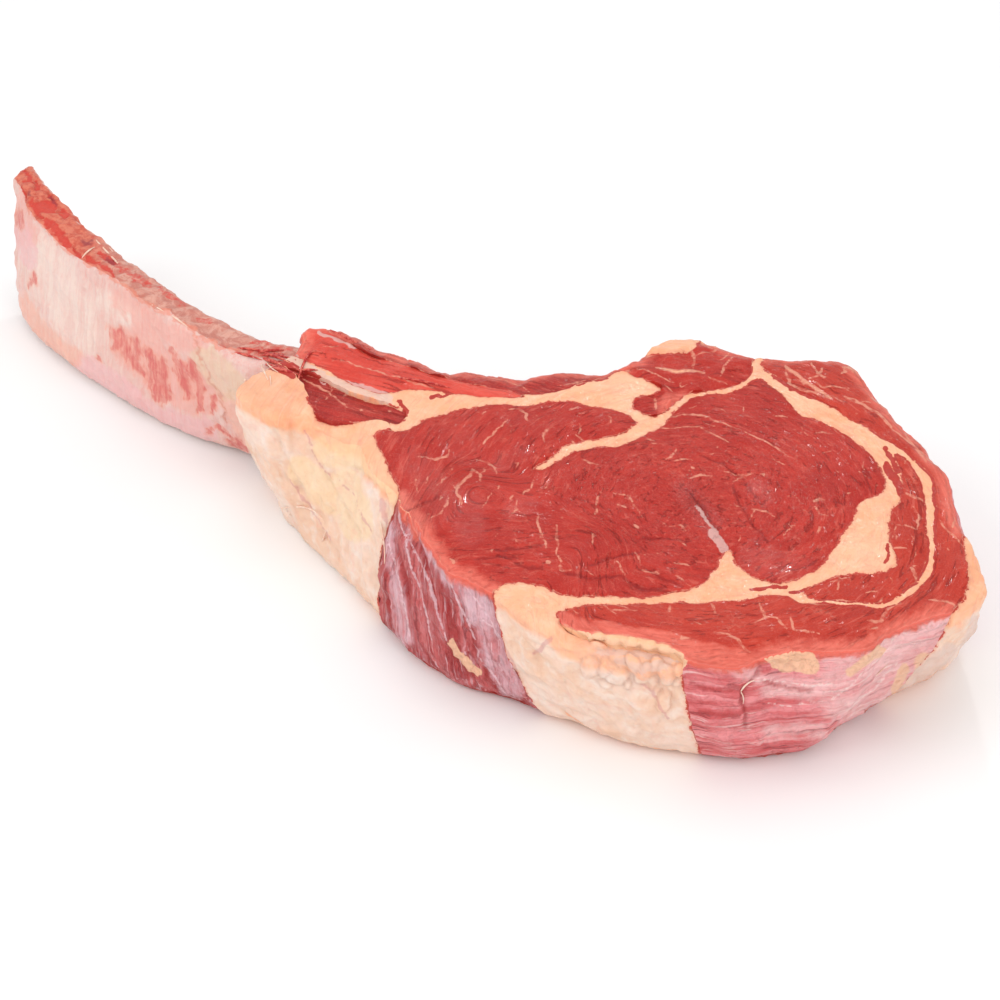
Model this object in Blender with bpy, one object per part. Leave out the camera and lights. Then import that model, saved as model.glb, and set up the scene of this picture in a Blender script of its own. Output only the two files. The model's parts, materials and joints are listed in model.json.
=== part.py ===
"""A raw tomahawk steak: one thick rib-eye slice on its whole rib.

The cut face is a section through several muscles with fat between them. Every muscle and
every body of fat runs through the whole thickness, so each is drawn once, as an outline on
the cut face, and carried down to the underside. One function, place(), says how far each spot
of the section slides sideways on its way down, so neighbours stay neighbours at every height.

Lengths are millimetres until a mesh is made. X runs along the rib, with its tip at -X; the
rib lies on the +Y side; Z is up, and the steak rests on Z = 0.
"""

import math

import bmesh
import bpy
import numpy as np
from mathutils import Vector
from mathutils.geometry import delaunay_2d_cdt

METRE = 0.001          # one millimetre, in metres
GAP = 0.35             # slit between two pieces that touch

# --- the slice ---------------------------------------------------------------------------
THICKNESS = 48.0       # at the origin, from the board to the cut face
FALL_X = -0.02         # the cut face falls this much for each millimetre of X
FALL_Y = 0.02
PITCH = 4.7            # spacing of the points along the outlines
FIELD = 5.4            # and over the cut face between them
WALL_REACH = 8.0       # how far in from the rim the wall's roundness is felt
RIM_BLEND = 4.0        # the rim's values are blended over about this distance
LOW_LEVEL = 8.0        # height at which the lower rim below is given

# The rim, clockwise from the torn end over the rib: (x, y) on the cut face, then (x, y) where
# the wall starts to turn under, LOW_LEVEL above the board.
RIM = (
    (-81, 12, -83, 12.5), (-72, 16.5, -73, 17.5), (-60, 16.5, -60, 18), (-45, 18.5, -45, 20),
    (-31, 18, -31, 20.5), (-27, 23, -27, 25), (-12, 29, -13, 32), (-6, 36.5, -7, 39),
    (7.5, 46, 5, 49), (12.5, 55, 9, 58), (12.5, 66, 8, 69), (18, 74, 14, 78),
    (30, 75.5, 28, 80), (41, 77, 40, 82), (50, 82, 50, 87), (60.5, 89.5, 61, 95),
    (70.5, 88, 72, 94), (80, 80, 82, 86), (97.5, 69, 99, 75), (112.5, 59, 114, 64),
    (125, 42.5, 126, 48), (135.5, 32.5, 133, 38), (143.5, 22, 134.5, 27), (145, 13, 129.5, 16),
    (140, 4.5, 125.5, 4), (135.5, -2, 123, -5), (131, -9, 121, -13.5), (129, -18, 118, -22),
    (122, -25, 112.5, -28.5), (113, -30, 108, -33), (109, -37, 104, -36), (104, -43, 102, -37.8),
    (97, -46.5, 97.8, -40.2), (86, -52, 90.5, -43.6), (73, -56, 80, -47.4), (61, -60.5, 69, -50),
    (50, -60, 59, -50.6), (36, -57.5, 46, -51.8), (20, -55, 29, -53), (10, -50, 18, -53.5),
    (0, -43.6, 4, -51), (-6.5, -39.2, -11, -45), (-13, -34.8, -17, -41.5),
    (-21, -31, -22.3, -38.8), (-27, -26.5, -27, -36.7), (-32.5, -22.5, -32, -34.8),
    (-40, -21, -40, -32), (-50, -21.5, -50, -28.5),
    (-56, -23, -58, -26), (-61, -28, -65, -21.5), (-70, -29, -74, -15), (-76.5, -26, -81, -11),
    (-79.5, -19, -86, -7), (-78.5, -12, -86, -3), (-76, -6, -83, 0.5), (-75, 0, -80, 4),
    (-77, 6, -81, 8),
)
# How far the wall stands out from the straight line between the two rims: a height, as a
# share of the thickness, and millimetres outwards.
WALL = ((0.0, -4.5), (0.06, -1.8), (0.2, 0.3), (0.5, 2.0), (0.78, 1.3), (0.94, 0.2),
        (1.0, 0.0))
EDGE_ROLL = 1.2        # the arris between wall and cut face is rolled in by this much
EDGE_REACH = 1.5       # and only so close to the rim
EDGE_DROP = 1.2        # and lowered by this much
EDGE_DROP_REACH = 2.0
INNER_WALL = (0.2, 0.6)   # the shares that an inner wall follows
NEAR_RIM = 4.0         # columns this close to the rim follow every share in WALL
STEP_LEAST = 1.0       # least height between two points of a column
FOLD = Vector((0.8, 0.6, 0.0))   # walls are folded towards this side
CREASE = math.radians(50)        # sharper edges than this are not shaded smooth

# --- the pieces of the section -------------------------------------------------------------
# Each outline is on the cut face. An outline may run past the rim, which then bounds it, and
# where two outlines overlap, the one that comes first below keeps the ground.
EYE = (
    (-30.6, -16.4), (-27.5, -14.5), (-24, -12), (-23, -6), (-20, 0), (-15.5, 6.5), (-9.5, 12.5),
    (-3, 16.5), (2, 22), (7, 26), (13, 27.5), (19, 29.5), (25, 30.5), (28, 28.5), (27.7, 22),
    (25, 17.5), (20.5, 13), (17, 8), (16.6, 2), (15, -7), (18, -6), (19.8, 2), (21, 7),
    (25, 11.5), (30, 15.5), (32.5, 21), (34, 27), (36.3, 33), (35.7, 40), (36, 46), (39, 51.5),
    (44, 56), (46.8, 62), (47, 67), (53, 66), (60, 62.5), (66, 58.7), (75, 58.7), (84, 57.5),
    (91, 54.3), (97, 50), (101, 45.5), (102.6, 40), (100.5, 36.5), (98.7, 32), (101, 25),
    (101.6, 15), (103.2, 6), (102.3, -1), (99.7, -7), (96, -10.5), (91, -11.2), (86, -10.2),
    (82.3, -7.5), (79, -5), (78.4, -9), (80.3, -14), (80.6, -20), (78, -26), (73, -32.3),
    (66, -37.5), (58, -42.5), (52.5, -46.3), (44, -46.6), (38.5, -48.6), (35.4, -53),
    (34.3, -60), (33, -70), (15, -70), (-2, -58), (-7.2, -45), (-9, -37.4), (-12.6, -32.5),
    (-19.6, -26.8), (-26.6, -21.9), (-30.3, -18.8),
)
INNER_CAP = (
    (98, 58), (100, 55.7), (103.5, 51.5), (106.7, 45.5), (108.6, 40), (108.4, 35), (111.2, 29),
    (115.8, 21), (120.6, 14.5), (116.6, 8), (109.8, 2), (106.4, -3), (104.8, -9), (107, -10.5),
    (112, -7), (119.5, -3), (124, -0.6), (126.6, 5), (127, 11.5), (126.2, 18), (123, 27),
    (118.5, 35), (113.3, 44.4), (107, 52), (101.5, 57),
)
OUTER_CAP = (
    (43.6, 80), (44.6, 73.5), (51, 71.6), (60, 70), (75, 67), (88, 64), (99, 61.3),
    (109, 55.5), (116.6, 46), (121.8, 36), (125.8, 29), (129, 21), (130.3, 13), (129.4, 4.5),
    (126, -3.2), (120, -5.8), (112, -9.8), (106.5, -13.2), (102, -13), (97.5, -15.5),
    (92.5, -22), (85.5, -27.3), (77.5, -34), (69, -40), (61.5, -45), (56.5, -49.8), (54, -54.5),
    (58, -57.3), (66, -55), (73, -52.6), (80, -50.6), (86, -48.4), (90, -49), (95, -60),
    (120, -52), (145, -25), (160, 10), (150, 45), (125, 75), (95, 95), (65, 110), (42, 95),
)
BACK_MUSCLE = (
    (10, 48), (17, 47.6), (24, 48), (27, 46), (25.6, 42), (21.8, 37.6), (24, 34), (30.5, 33.6),
    (33, 39), (33.2, 46), (36, 52.5), (41.5, 57.5), (44, 62.5), (43.3, 68), (41.5, 73.5),
    (41, 80), (38, 90), (22, 90), (21, 77), (23, 70), (20, 64), (14, 61.5), (5, 61), (2, 52),
)
CHINE_FAT = ((5, 60), (14, 60), (21, 63), (24, 70), (22, 78), (20, 88), (2, 88), (-2, 70))
FINGER_MEAT = (
    (-84, 2), (-75, -0.6), (-60, -1.8), (-50, -2.8), (-41, -1.4), (-38, 2.4), (-33, 6.5),
    (-25, 9.5), (-17, 13.5), (-9, 18), (-5.5, 21), (-10, 21), (-20, 17.6), (-32, 14.6),
    (-45, 13), (-60, 12.2), (-72, 13.4), (-84, 14.5), (-92, 8),
)
REAR_MEAT = (
    (-84, 13), (-72, 12), (-45, 12), (-20, 16), (-10, 19), (-3.6, 24.6), (0.6, 29.5),
    (4.6, 35.5), (8.2, 41), (11, 47), (14, 50), (6, 60), (-14, 52), (-32, 36), (-60, 30),
    (-95, 28), (-96, 14),
)
UNDER_MEAT_END = ((-68, -3.5), (-69, 4), (-70.5, 14), (-71, 22))   # a line across both strips
WEDGE_MUSCLE = (
    (-71, -7.2), (-66, -6.3), (-60, -6.3), (-50, -6.6), (-41, -5.4), (-35, -4.2), (-30.5, -4),
    (-28.2, -6.5), (-29, -10), (-33, -11.6), (-38, -13.9), (-42.5, -16.8), (-46.5, -18.9),
    (-50.5, -19.2), (-54.5, -17.5), (-60, -12.6), (-66, -9.4),
)
BONE_END_FAT = (
    (-100, -8), (-80, -7), (-50, -10), (-33, -9), (-29.8, -13), (-26, -17), (-17, -23),
    (-7, -32), (-3, -42), (-8, -54), (-35, -55), (-70, -50), (-105, -40),
)
FRONT_FAT = (
    (34, -54), (37, -49), (41, -47.2), (45.5, -49.3), (52, -49.6), (55.5, -51.5), (60, -52.5),
    (80, -47), (87.6, -45), (90, -49), (94, -64), (30, -72),
)
EDGE_FAT = (
    (129, 37), (133, 31), (136.4, 25.5), (139.6, 19), (141.4, 13), (141, 7), (150, 2),
    (162, 20), (146, 44), (132, 46),
)

# --- the rib -------------------------------------------------------------------------------
# Sections from the sawn tip inwards: front edge and back edge at the top, front edge at the
# bottom, then the heights of the top and the bottom edge.
RIB = (
    ((-220, 33.5), (-221.5, 45.5), (-208.5, 15), 45.8, 1.6),
    ((-211, 25.5), (-212, 40), (-200.5, 11), 45.8, 1.2),
    ((-194, 16), (-193.5, 31.5), (-186.5, 6.5), 45.8, 1.0),
    ((-168, 7), (-168, 21.5), (-162.5, 1), 45.4, 1.0),
    ((-148, 2.5), (-148, 16), (-141, -3), 45.2, 1.0),
    ((-127, -2), (-126, 11.5), (-122, -5), 45.0, 1.2),
    ((-105, -6.5), (-102, 8), (-104, -4), 44.6, 1.6),
    ((-88, -9), (-84, 9.5), (-90, -3.5), 44.2, 2.5),
    ((-72, -5.5), (-69, 12), (-75, -1), 43.2, 4.5),
    ((-56, -0.5), (-55, 16), (-58, 1.5), 42.0, 7.0),
    ((-40, 4), (-41, 19), (-41, 5.5), 41.5, 8.5),
    ((-26, 9), (-32, 21.5), (-27, 10.5), 41.0, 9.5),
    ((-13, 16.5), (-20, 29), (-14, 18), 40.5, 10.5),
    ((-3, 26), (-10.5, 36), (-4, 27.5), 40.0, 11.0),
    ((3, 35), (-3, 42.5), (2, 36), 38.5, 13.0),
)
RIB_STEPS = 2          # sections between two of the above
RIB_SIDES = 16         # points round a section
RIB_ROUND = 0.36       # how square a section is: 1 is an oval, 0 a box
RIB_FOOT = 0.92        # the bottom edge is this share of the top edge's width
RIB_TAPER = 0.55       # the inner end closes to this share of its size
BED_END_X = -115.0     # the meat and its bed end before this
OPEN_BACK = 14.0       # the rib's bed is open this far towards the back
BED_DROP = 10.0        # and open at the bottom where the rib leaves the meat
BED_DROP_X = -62.0
MID_HEIGHT = 24.0      # the meat over the rib meets the meat under it here


def smoothstep(x):
    x = np.clip(x, 0.0, 1.0)
    return x * x * (3.0 - 2.0 * x)


def closed_curve(points, step):
    """Points about a step apart on the smooth closed curve through these."""
    points = np.asarray(points, float)
    before, after = np.roll(points, 1, 0), np.roll(points, -1, 0)
    later = np.roll(points, -2, 0)
    curve = []
    for p0, p1, p2, p3 in zip(before, points, after, later):
        count = max(1, round(np.linalg.norm((p2 - p1)[:2]) / step))
        for t in np.arange(count) / count:
            curve.append(0.5 * (2 * p1 + (p2 - p0) * t
                                + (2 * p0 - 5 * p1 + 4 * p2 - p3) * t * t
                                + (3 * p1 - p0 - 3 * p2 + p3) * t ** 3))
    return np.array(curve)


def normals_of(curve):
    """Unit normals that point out of a closed curve."""
    along = np.roll(curve, -1, 0) - np.roll(curve, 1, 0)
    normal = np.stack([along[:, 1], -along[:, 0]], 1)
    normal /= np.linalg.norm(normal, axis=1)[:, None]
    area = np.sum(curve[:, 0] * np.roll(curve[:, 1], -1) - curve[:, 1] * np.roll(curve[:, 0], -1))
    return normal if area > 0 else -normal


def inside(points, curve):
    """Which points lie inside a closed curve."""
    hit = np.zeros(len(points), bool)
    x, y = points[:, 0], points[:, 1]
    for (ax, ay), (bx, by) in zip(curve, np.roll(curve, -1, 0)):
        if ay != by:
            crosses = (ay > y) != (by > y)
            hit ^= crosses & (x < (bx - ax) * (y - ay) / (by - ay) + ax)
    return hit


def distance_to(points, curve):
    """Distance from each point to a closed curve's corner points, and which is nearest."""
    gap = np.linalg.norm(points[:, None, :] - curve[None, :, :], axis=2)
    return gap.min(axis=1), gap.argmin(axis=1)


rim = closed_curve(RIM, PITCH)
RIM_TOP, RIM_SLIDE = rim[:, :2], rim[:, 2:] - rim[:, :2]
RIM_NORMAL = normals_of(RIM_TOP)


def face_height(points):
    """Height of the plain cut face."""
    return THICKNESS + FALL_X * points[:, 0] + FALL_Y * points[:, 1]


def as_rim(points, values):
    """Each point's share of values that are given round the rim, mostly from the rim near by."""
    gap = np.linalg.norm(points[:, None, :] - RIM_TOP[None, :, :], axis=2)
    weight = 1.0 / (gap ** 2 + RIM_BLEND ** 2) ** 1.5
    return weight @ values / weight.sum(axis=1)[:, None]


def lumps(points, z):
    """Soft unevenness of the trimmed wall."""
    x, y = points[:, 0], points[:, 1]
    return 0.6 * np.sin(0.19 * x + 0.11 * z) * np.cos(0.23 * y - 0.13 * z) \
        + 0.4 * np.sin(0.41 * x - 0.17 * y + 0.21 * z)


def place(points, z):
    """Where a point of the section is in space at height z."""
    top = face_height(points)
    share = (top - z) / (top - LOW_LEVEL)
    gap, _ = distance_to(points, RIM_TOP)
    heights, outs = zip(*WALL)
    out = np.interp(z / top, heights, outs) + lumps(points, z) * smoothstep(z / LOW_LEVEL)
    out = out * np.exp(-(gap / WALL_REACH) ** 2)
    roll = np.clip((z / top - WALL[-2][0]) / (1.0 - WALL[-2][0]), 0.0, 1.0)
    out -= EDGE_ROLL * roll * np.exp(-(gap / EDGE_REACH) ** 2)
    flat = points + share[:, None] * as_rim(points, RIM_SLIDE)
    flat += out[:, None] * as_rim(points, RIM_NORMAL)
    return np.column_stack([flat, z])


def waves(points, size, height, turn=0.0):
    """Low relief with crests about a size apart."""
    u = points[:, 0] * math.cos(turn) + points[:, 1] * math.sin(turn)
    v = points[:, 1] * math.cos(turn) - points[:, 0] * math.sin(turn)
    k = 2 * math.pi / size
    return height * (np.sin(k * u + 1.3 * np.sin(0.37 * k * v)) + np.sin(0.61 * k * v + 0.8 * k * u)) / 2


# --- the cut face of each piece: millimetres above the plain face ---------------------------
def muscle_face(dome, size=26.0, rough=0.5, turn=0.5):
    return lambda p, edge: dome * (1 - np.exp(-edge / 5.0)) - 0.3 + waves(p, size, rough, turn)


def seam_face(p, edge):
    """Seams lie a little low; the big kernel at the right stands up."""
    kernel = np.exp(-((p[:, 0] - 109) ** 2 + (p[:, 1] - 16) ** 2) / 120.0)
    blob = np.exp(-((p[:, 0] - 18) ** 2 + (p[:, 1] - 40) ** 2) / 60.0)
    strip = smoothstep((-36.0 - p[:, 0]) / 6.0)
    return -0.6 + 1.3 * kernel + 0.9 * blob + 0.4 * strip + waves(p, 13.0, 0.25)


def block_face(p, edge):
    """The facet at the rib end is flat, the shoulder beside it slopes to the wall, and against
    the eye muscle the fat comes up level again."""
    shoulder = smoothstep((p[:, 0] + 58.0) / 8.0) * smoothstep((-12.0 - p[:, 1]) / 8.0)
    shoulder = shoulder * smoothstep((-30.0 - p[:, 0]) / 9.0)
    return -0.6 - 2.6 * shoulder + waves(p, 17.0, 0.3, 0.9)


def layered_face(p, edge):
    """Short fibres, cut across, that open in steps from back to front."""
    across = p[:, 0] * 0.45 + p[:, 1] * 0.9
    return 0.4 + 0.9 * np.sin(across * 0.62 + 0.9 * np.sin(p[:, 0] * 0.21)) - 0.6 * np.exp(-edge / 2.5)


def torn_face(p, edge):
    """The dark strip at the back lies low, most of all towards its middle."""
    hollow = np.exp(-((p[:, 0] + 4) ** 2 + (p[:, 1] - 33) ** 2) / 420.0)
    return -0.2 - 1.4 * hollow + waves(p, 9.0, 0.8, 0.6)


def strand_face(p, edge):
    """A round strand that lies on the rib, lifted at its torn end."""
    lift = smoothstep((-66.0 - p[:, 0]) / 12.0)
    return 1.6 * (1 - np.exp(-edge / 3.0)) - 1.0 + 0.8 * lift + waves(p, 21.0, 0.35, 0.2)


def front_face(p, edge):
    """The fat shows as a wedge in the face, then drops to a ledge under the muscle's edge."""
    ledge = smoothstep((p[:, 0] - 55.0) / 5.0)
    return -0.3 - 3.2 * ledge + waves(p, 11.0, 0.6, 0.3) * (0.4 + 0.6 * ledge)


def nub_face(p, edge):
    return 1.0 + waves(p, 9.0, 1.1, 0.7) - 1.0 * np.exp(-edge / 2.0)


# name, outline, face, colour, roughness, bottom height, top height (None is the cut face)
PIECES = (
    ("eye_muscle", EYE, muscle_face(1.0), (0.42, 0.035, 0.03), 0.35, 0.0, None),
    ("inner_cap_muscle", INNER_CAP, muscle_face(0.7, 18.0, 0.4, 1.9), (0.45, 0.05, 0.04), 0.35,
     0.0, None),
    ("edge_fat", EDGE_FAT, lambda p, edge: -1.0 + waves(p, 9.0, 0.5), (0.87, 0.62, 0.48), 0.45,
     0.0, None),
    ("outer_cap_muscle", OUTER_CAP, muscle_face(0.8, 22.0, 0.5, 1.2), (0.47, 0.045, 0.035), 0.35,
     0.0, None),
    ("chine_fat", CHINE_FAT, nub_face, (0.85, 0.62, 0.5), 0.45, 0.0, None),
    ("back_muscle", BACK_MUSCLE, layered_face, (0.4, 0.04, 0.035), 0.4, 0.0, None),
    ("finger_meat", FINGER_MEAT, strand_face, (0.5, 0.05, 0.04), 0.35, MID_HEIGHT, None),
    ("rear_meat", REAR_MEAT, torn_face, (0.28, 0.02, 0.02), 0.4, MID_HEIGHT, None),
    ("wedge_muscle", WEDGE_MUSCLE, lambda p, edge: -1.6 + waves(p, 12.0, 0.5, 0.4),
     (0.38, 0.04, 0.035), 0.4, 0.0, None),
    ("bone_end_fat", BONE_END_FAT, block_face, (0.87, 0.72, 0.5), 0.45, 0.0, None),
    ("front_fat", FRONT_FAT, front_face, (0.87, 0.7, 0.5), 0.45, 0.0, None),
)
UNDER_PIECE = ("under_rib_meat", None, None, (0.36, 0.03, 0.03), 0.4, 0.0, MID_HEIGHT - GAP)
SEAM_FAT = ("seam_fat", None, seam_face, (0.88, 0.66, 0.48), 0.42, 0.0, None)
ON_THE_RIB = ("finger_meat", "rear_meat", "under_rib_meat", "wedge_muscle", "bone_end_fat",
              "seam_fat")


def hex_points(low, high, pitch):
    rows = []
    for i, y in enumerate(np.arange(low[1], high[1], pitch * math.sqrt(3) / 2)):
        xs = np.arange(low[0] + (i % 2) * pitch / 2, high[0], pitch)
        rows.append(np.column_stack([xs, np.full(len(xs), y)]))
    return np.concatenate(rows)


def triangulate(curves, line):
    """Triangles over the whole section, with every closed curve and one open line along their
    edges."""
    field = hex_points(RIM_TOP.min(0), RIM_TOP.max(0), FIELD)
    near, _ = distance_to(field, np.concatenate(curves + [line]))
    field = field[(near > 0.6 * FIELD) & inside(field, RIM_TOP)]
    points, edges = [], []
    for curve in curves:
        start, count = len(points), len(curve)
        points.extend(curve)
        edges.extend((start + i, start + (i + 1) % count) for i in range(count))
    edges.extend((len(points) + i, len(points) + i + 1) for i in range(len(line) - 1))
    points.extend(line)
    points.extend(field)
    found = delaunay_2d_cdt([Vector(p) for p in points], edges, [], 0, 1e-4, False)
    return np.array([tuple(p) for p in found[0]]), np.array(found[2], int)


def shares(points, triangles, pieces):
    """Which triangles each piece owns, and which are left inside the rim."""
    middle = points[triangles].mean(axis=1)
    free = inside(middle, RIM_TOP)
    owned = {}
    for name, curve, grown in pieces:
        owned[name] = free & inside(middle, curve)
        free = free & ~inside(middle, grown)
    return owned, free


def largest_patch(triangles):
    """The triangles that hang together by their edges, in the largest patch of them."""
    owner = {}
    group = list(range(len(triangles)))

    def root(i):
        while group[i] != i:
            group[i] = group[group[i]]
            i = group[i]
        return i

    for i, triangle in enumerate(triangles):
        for a, b in zip(triangle, np.roll(triangle, -1)):
            key = (min(a, b), max(a, b))
            if key in owner:
                group[root(i)] = root(owner[key])
            owner[key] = i
    roots = np.array([root(i) for i in range(len(triangles))])
    values, counts = np.unique(roots, return_counts=True)
    return triangles[roots == values[counts.argmax()]]


def border_of(triangles):
    """The edges round a patch, with the patch on their left."""
    directed = {(t[i], t[(i + 1) % 3]) for t in triangles.tolist() for i in range(3)}
    return sorted((a, b) for a, b in directed if (b, a) not in directed)


def fans_at(triangles, corner):
    """The groups of triangles that meet at a corner, as row numbers; one group is sound."""
    rows = np.flatnonzero((triangles == corner).any(axis=1))
    fans = []
    for row in rows:
        others = set(triangles[row].tolist()) - {corner}
        joined = [fan for fan in fans if fan[1] & others]
        fans = [fan for fan in fans if not fan[1] & others]
        fans.append(([row] + [r for fan in joined for r in fan[0]],
                     others.union(*(fan[1] for fan in joined))))
    return [fan[0] for fan in fans]


def sound_patch(triangles):
    """The largest patch, trimmed until it nowhere touches itself at a single corner."""
    while True:
        triangles = largest_patch(triangles)
        starts = [a for a, _ in border_of(triangles)]
        pinched = sorted({a for a in starts if starts.count(a) > 1})
        if not pinched:
            return triangles
        spare = {row for a in pinched for row in min(fans_at(triangles, a), key=len)}
        triangles = np.delete(triangles, sorted(spare), axis=0)


def round_columns(points, curves):
    """Which points are so near the rim that their columns are round. The nearest point of an
    outline decides, so that the two sides of a slit are alike."""
    anchors = np.concatenate(curves)
    _, nearest = distance_to(points, anchors)
    gap, _ = distance_to(anchors[nearest], RIM_TOP)
    return gap < NEAR_RIM


def column_heights(is_round, low, high, top):
    """Heights of the points down one wall."""
    shares = [share for share, _ in WALL] if is_round else INNER_WALL
    between = [share * top for share in shares
               if low + STEP_LEAST < share * top < high - STEP_LEAST]
    return [low] + between + [high]


def zip_columns(bm, one, two):
    """Triangles between two upright columns of points. The lower next point comes first; level
    ones go by the columns' places, so that the two sides of a slit are folded alike."""
    i = j = 0
    one_first = FOLD.dot(one[0].co) < FOLD.dot(two[0].co)
    while i < len(one) - 1 or j < len(two) - 1:
        if i == len(one) - 1 or j == len(two) - 1:
            take_one = j == len(two) - 1
        else:
            rise = one[i + 1].co.z - two[j + 1].co.z
            both_last = i == len(one) - 2 and j == len(two) - 2
            take_one = one_first if both_last or abs(rise) < 0.5 * METRE else rise < 0
        if take_one:
            bm.faces.new((one[i], two[j], one[i + 1]))
            i += 1
        else:
            bm.faces.new((one[i], two[j], two[j + 1]))
            j += 1


def build_prism(name, points, is_round, triangles, face, low, high):
    """Carries a patch of the section down to the board, and returns its mesh."""
    triangles = sound_patch(triangles)
    used, triangles = np.unique(triangles, return_inverse=True)
    points, is_round, triangles = points[used], is_round[used], triangles.reshape(-1, 3)
    border = border_of(triangles)
    edge, _ = distance_to(points, points[sorted({a for a, _ in border})])
    rim_gap, _ = distance_to(points, RIM_TOP)
    plain = face_height(points)
    if high is None:
        top = plain + face(points, edge) - EDGE_DROP * np.exp(-rim_gap / EDGE_DROP_REACH)
    else:
        top = np.full(len(points), high)
    bottom = np.full(len(points), low)
    bm = bmesh.new()

    def add(indices, heights):
        spots = place(points[indices], np.asarray(heights, float)) * METRE
        return [bm.verts.new(spot) for spot in spots]

    everywhere = np.arange(len(points))
    top_verts, bottom_verts = add(everywhere, top), add(everywhere, bottom)
    columns = {}
    for a, _ in border:
        heights = column_heights(is_round[a], bottom[a], top[a], plain[a])[1:-1]
        columns[a] = [bottom_verts[a]] + add([a] * len(heights), heights) + [top_verts[a]]
    for a, b, c in triangles:
        bm.faces.new((top_verts[a], top_verts[b], top_verts[c]))
        bm.faces.new((bottom_verts[c], bottom_verts[b], bottom_verts[a]))
    for a, b in border:
        zip_columns(bm, columns[a], columns[b])
    flat = [face for face in bm.faces if max(v.co.z for v in face.verts) < 1e-6]
    if flat:
        edges = [e for e in bm.edges if all(f in flat for f in e.link_faces)]
        bmesh.ops.dissolve_limit(bm, angle_limit=1e-3, edges=edges,
                                 verts=list({v for e in edges for v in e.verts}))
    bmesh.ops.triangulate(bm, faces=bm.faces[:])
    mesh = bpy.data.meshes.new(name)
    bm.to_mesh(mesh)
    bm.free()
    return mesh


def material(name, colour, roughness):
    made = bpy.data.materials.new(name)
    made.use_nodes = True
    shader = made.node_tree.nodes["Principled BSDF"]
    shader.inputs["Base Color"].default_value = (*colour, 1.0)
    shader.inputs["Roughness"].default_value = roughness
    shader.inputs["Metallic"].default_value = 0.0
    return made


def add_object(name, mesh):
    obj = bpy.data.objects.new(name, mesh)
    bpy.context.scene.collection.objects.link(obj)
    return obj


def finish(obj, colour, roughness):
    obj.data.materials.append(material(obj.name, colour, roughness))
    obj.data.shade_smooth()
    obj.data.set_sharp_from_angle(angle=CREASE)


def rib_sections():
    """Four corners of each section: bottom front, bottom back, top back, top front."""
    rows = []
    for front, back, low_front, high, low in RIB:
        wide = np.subtract(back, front) * RIB_FOOT
        rows.append((*low_front, low, *np.add(low_front, wide), low, *back, high, *front, high))
    rows = np.array(rows, float)
    first, last = 2 * rows[0] - rows[1], 2 * rows[-1] - rows[-2]
    padded = np.vstack([first, rows, last])
    sections = []
    for i in range(1, len(padded) - 2):
        p0, p1, p2, p3 = padded[i - 1:i + 3]
        for t in np.arange(RIB_STEPS) / RIB_STEPS:
            sections.append(0.5 * (2 * p1 + (p2 - p0) * t + (2 * p0 - 5 * p1 + 4 * p2 - p3) * t * t
                                   + (3 * p1 - p0 - 3 * p2 + p3) * t ** 3))
    sections.append(padded[-2])
    return np.array(sections).reshape(-1, 4, 3)


def rib_ring(corners, grow, shrink=1.0):
    """Points round one section, and how far each is towards the back and the top."""
    angle = 2 * math.pi * (np.arange(RIB_SIDES) + 0.5) / RIB_SIDES
    back = np.sign(np.cos(angle)) * np.abs(np.cos(angle)) ** RIB_ROUND
    rise = np.sign(np.sin(angle)) * np.abs(np.sin(angle)) ** RIB_ROUND
    low_front, low_back, high_back, high_front = corners
    half_wide = 0.5 * np.linalg.norm(high_back - high_front)
    half_high = 0.5 * (high_front[2] - low_front[2])
    u = 0.5 + 0.5 * back * shrink * (1 + grow / half_wide)
    v = 0.5 + 0.5 * rise * shrink * (1 + grow / half_high)
    low = low_front + u[:, None] * (low_back - low_front)
    high = high_front + u[:, None] * (high_back - high_front)
    return low + v[:, None] * (high - low), back, rise


def rib_relief(ring, rise, along):
    """The cut top edge is ragged, and the broad sides are gently uneven."""
    ragged = np.clip(rise, 0, 1) ** 3
    ring[:, 2] += ragged * (0.7 * np.sin(along * 0.9) + 0.5 * np.sin(along * 2.1 + ring[:, 1]))
    ring[:, 1] += 0.5 * np.sin(along * 0.55 + ring[:, 2] * 0.12)
    return ring


def loft(name, rings):
    """A closed body through rings of points."""
    bm = bmesh.new()
    made = [[bm.verts.new(p * METRE) for p in ring] for ring in rings]
    for one, two in zip(made, made[1:]):
        for i in range(RIB_SIDES):
            j = (i + 1) % RIB_SIDES
            bm.faces.new((one[i], one[j], two[j], two[i]))
    bm.faces.new(made[0][::-1])
    bm.faces.new(made[-1])
    bmesh.ops.recalc_face_normals(bm, faces=bm.faces[:])
    bmesh.ops.triangulate(bm, faces=bm.faces[:])
    mesh = bpy.data.meshes.new(name)
    bm.to_mesh(mesh)
    bm.free()
    return mesh


def build_rib():
    """The rib, and the bed that it lies in, which is open towards the back."""
    sections = rib_sections()
    rings, bed = [], []
    last = len(sections) - 1
    for i, corners in enumerate(sections):
        shrink = 1.0 if i < last else RIB_TAPER
        ring, back, rise = rib_ring(corners, 0.0, shrink)
        rings.append(rib_relief(ring, rise, i))
        if corners[:, 0].max() > BED_END_X:
            ring, back, rise = rib_ring(corners, 2 * GAP, shrink)
            outwards = corners[2] - corners[3]
            outwards /= np.linalg.norm(outwards)
            ring = rib_relief(ring, rise, i) + np.outer(back > 0, outwards * OPEN_BACK)
            drop = BED_DROP * smoothstep((BED_DROP_X - ring[:, 0]) / 8.0)
            ring[:, 2] -= (rise < 0) * drop
            bed.append(ring)
    inwards = sections[-1].mean(0) - sections[-2].mean(0)
    bed.append(bed[-1] + inwards / np.linalg.norm(inwards) * GAP * 2)
    return loft("rib_bone", rings), loft("rib_bed", bed)


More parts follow.
